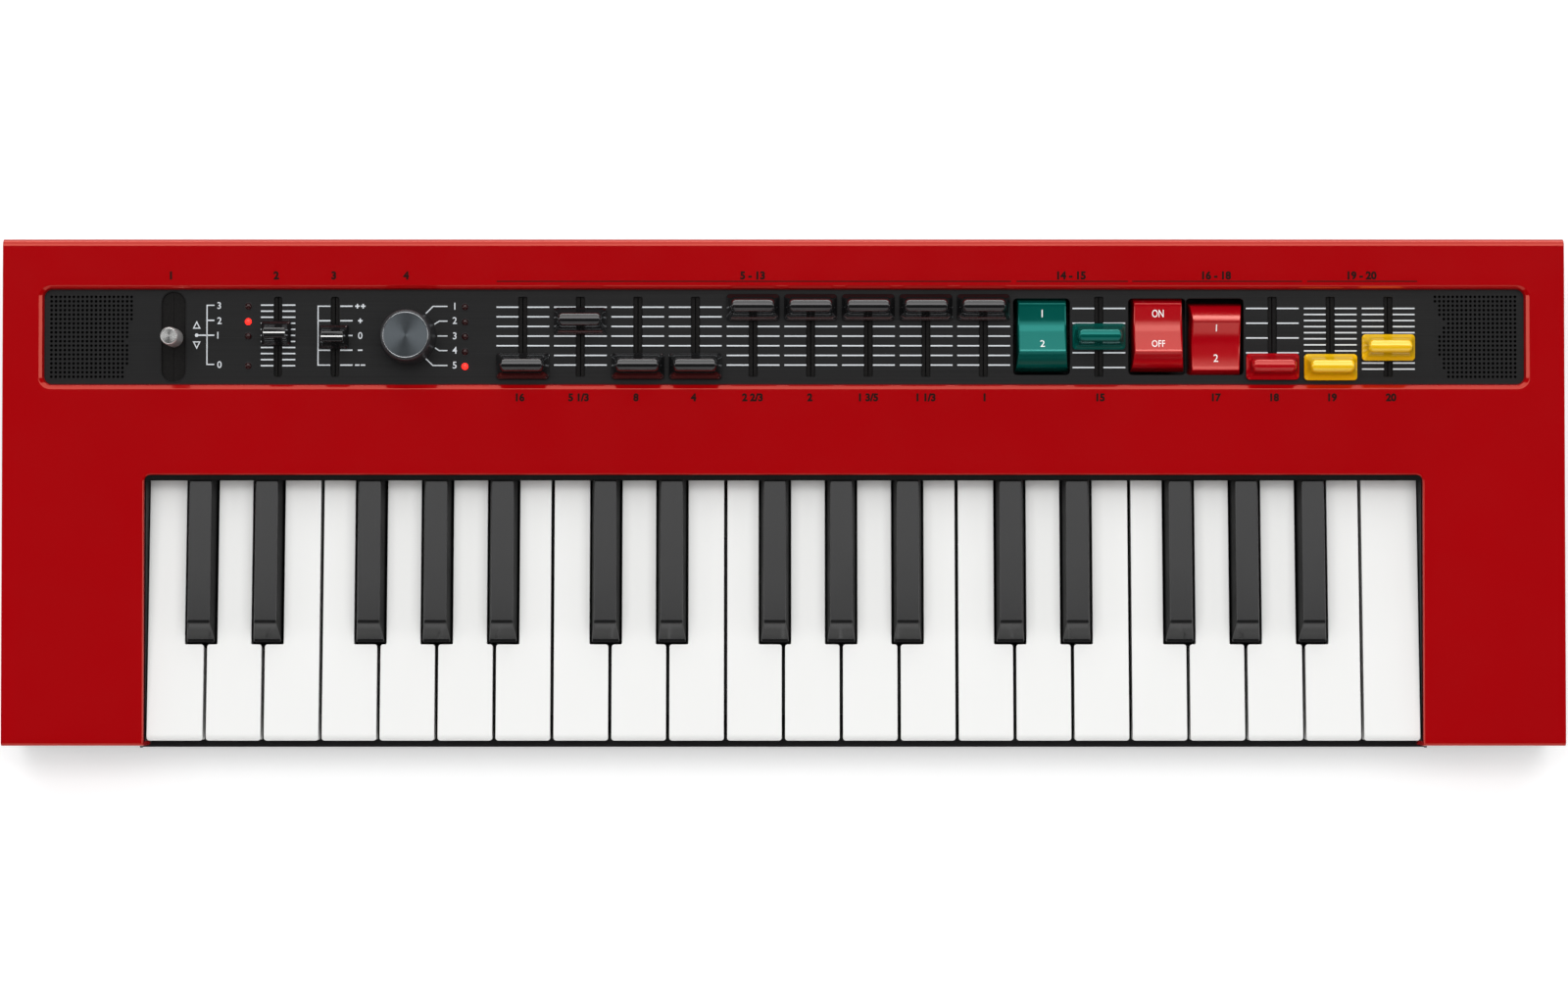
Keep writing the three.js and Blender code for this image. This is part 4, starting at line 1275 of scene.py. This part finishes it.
def rear_fittings():
    def back(a, b, c):
        # own XY plane becomes the leaning rear wall: a to +X, b up the wall, c outwards
        u = LEN - 0.3 + c
        h = h_at(LEN - 0.3, 25.0) + b
        return P(a, u, h)

    for k, x in enumerate(JACKS):
        nut = lathe([(3.22, -1.0), (3.22, 0.9), (3.5, 1.15), (5.0, 1.15), (5.45, 0.8), (5.45, 0.02), (4.1, 0.02), (4.1, -1.0), (3.22, -1.0)], 6 * 8, 0, 0)
        # flats of the nut
        nut.v = [(a * (1.0 if math.hypot(a, b) < 4.6 else min(1.0, 4.85 / (math.hypot(a, b) * math.cos((math.atan2(b, a) % (math.pi / 3)) - math.pi / 6)))),
                  b * (1.0 if math.hypot(a, b) < 4.6 else min(1.0, 4.85 / (math.hypot(a, b) * math.cos((math.atan2(b, a) % (math.pi / 3)) - math.pi / 6)))), c) for a, b, c in nut.v]
        piece(f"jack_nut_{k + 1}", nut.moved(lambda a, b, c: back(a + x, b, c)), STEEL, "case", angle=25)
        barrel = lathe([(3.2, 1.0), (3.2, -22.0), (0, -22.0), (0, -22.6), (5.2, -22.6), (5.2, -2.4), (4.0, -2.4), (4.0, 1.0), (3.2, 1.0)], 32)
        piece(f"jack_socket_{k + 1}", barrel.moved(lambda a, b, c: back(a + x, b, c)), SOCKET, "case")
    din = lathe([(0, -3.5), (6.2, -3.5), (6.2, 0.2), (6.5, 0.4), (7.4, 0.4), (7.55, 0.2), (7.55, -6), (0, -6)], 40)
    piece("round_socket", din.moved(lambda a, b, c: back(a + 34, b, c)), SOCKET, "case")
    pins = Shape()
    for ang in range(0, 360, 45):
        r = 3.6
        pins.add(lathe([(0, -3.5), (0.42, -3.5), (0.42, -1.5), (0.2, -1.2), (0, -1.15)], 10, r * math.cos(math.radians(ang)), r * math.sin(math.radians(ang))))
    piece("round_socket_pins", pins.moved(lambda a, b, c: back(a + 34, b, c)), STEEL, "case")
    usb = Shape()
    o, i = rounded(rect(-6.1, 6.1, -5.9, 5.9), 0.5, 3), rounded(rect(-4.2, 4.2, -3.9, 3.9), 0.6, 3)
    a, b, c, d = (usb.ring([(p, q, z) for p, q in r]) for r, z in ((o, -6.0), (o, 0.1), (i, 0.1), (i, -6.0)))
    usb.loft([a, b, c, d])
    usb.box(-2.8, 2.8, -1.6, 1.6, -8.0, -1.0)
    piece("square_socket", usb.moved(lambda a, b, c: back(a + 62.2, b, c)), STEEL, "case", angle=30)
    dc = lathe([(3.0, -10), (3.0, 0.0), (3.2, 0.25), (5.2, 0.25), (5.4, 0.0), (4.2, 0.0), (4.2, -10.6), (0, -10.6), (0, -10), (3.0, -10)], 32)
    piece("dc_inlet", dc.moved(lambda a, b, c: back(a + 94, b, c)), SOCKET, "case")
    pin = lathe([(0, -10), (1.0, -10), (1.0, -2.0), (0.6, -1.5), (0, -1.4)], 16)
    piece("dc_inlet_pin", pin.moved(lambda a, b, c: back(a + 94, b, c)), STEEL, "case")
    btn = prism(rounded(rect(-5.7, 5.7, -4.2, 4.2), 1.0, 4), -6.0, 1.3, 0.5)
    piece("power_button", btn.moved(lambda a, b, c: back(a + 118, b, c)), SOCKET, "case")


rear_fittings()
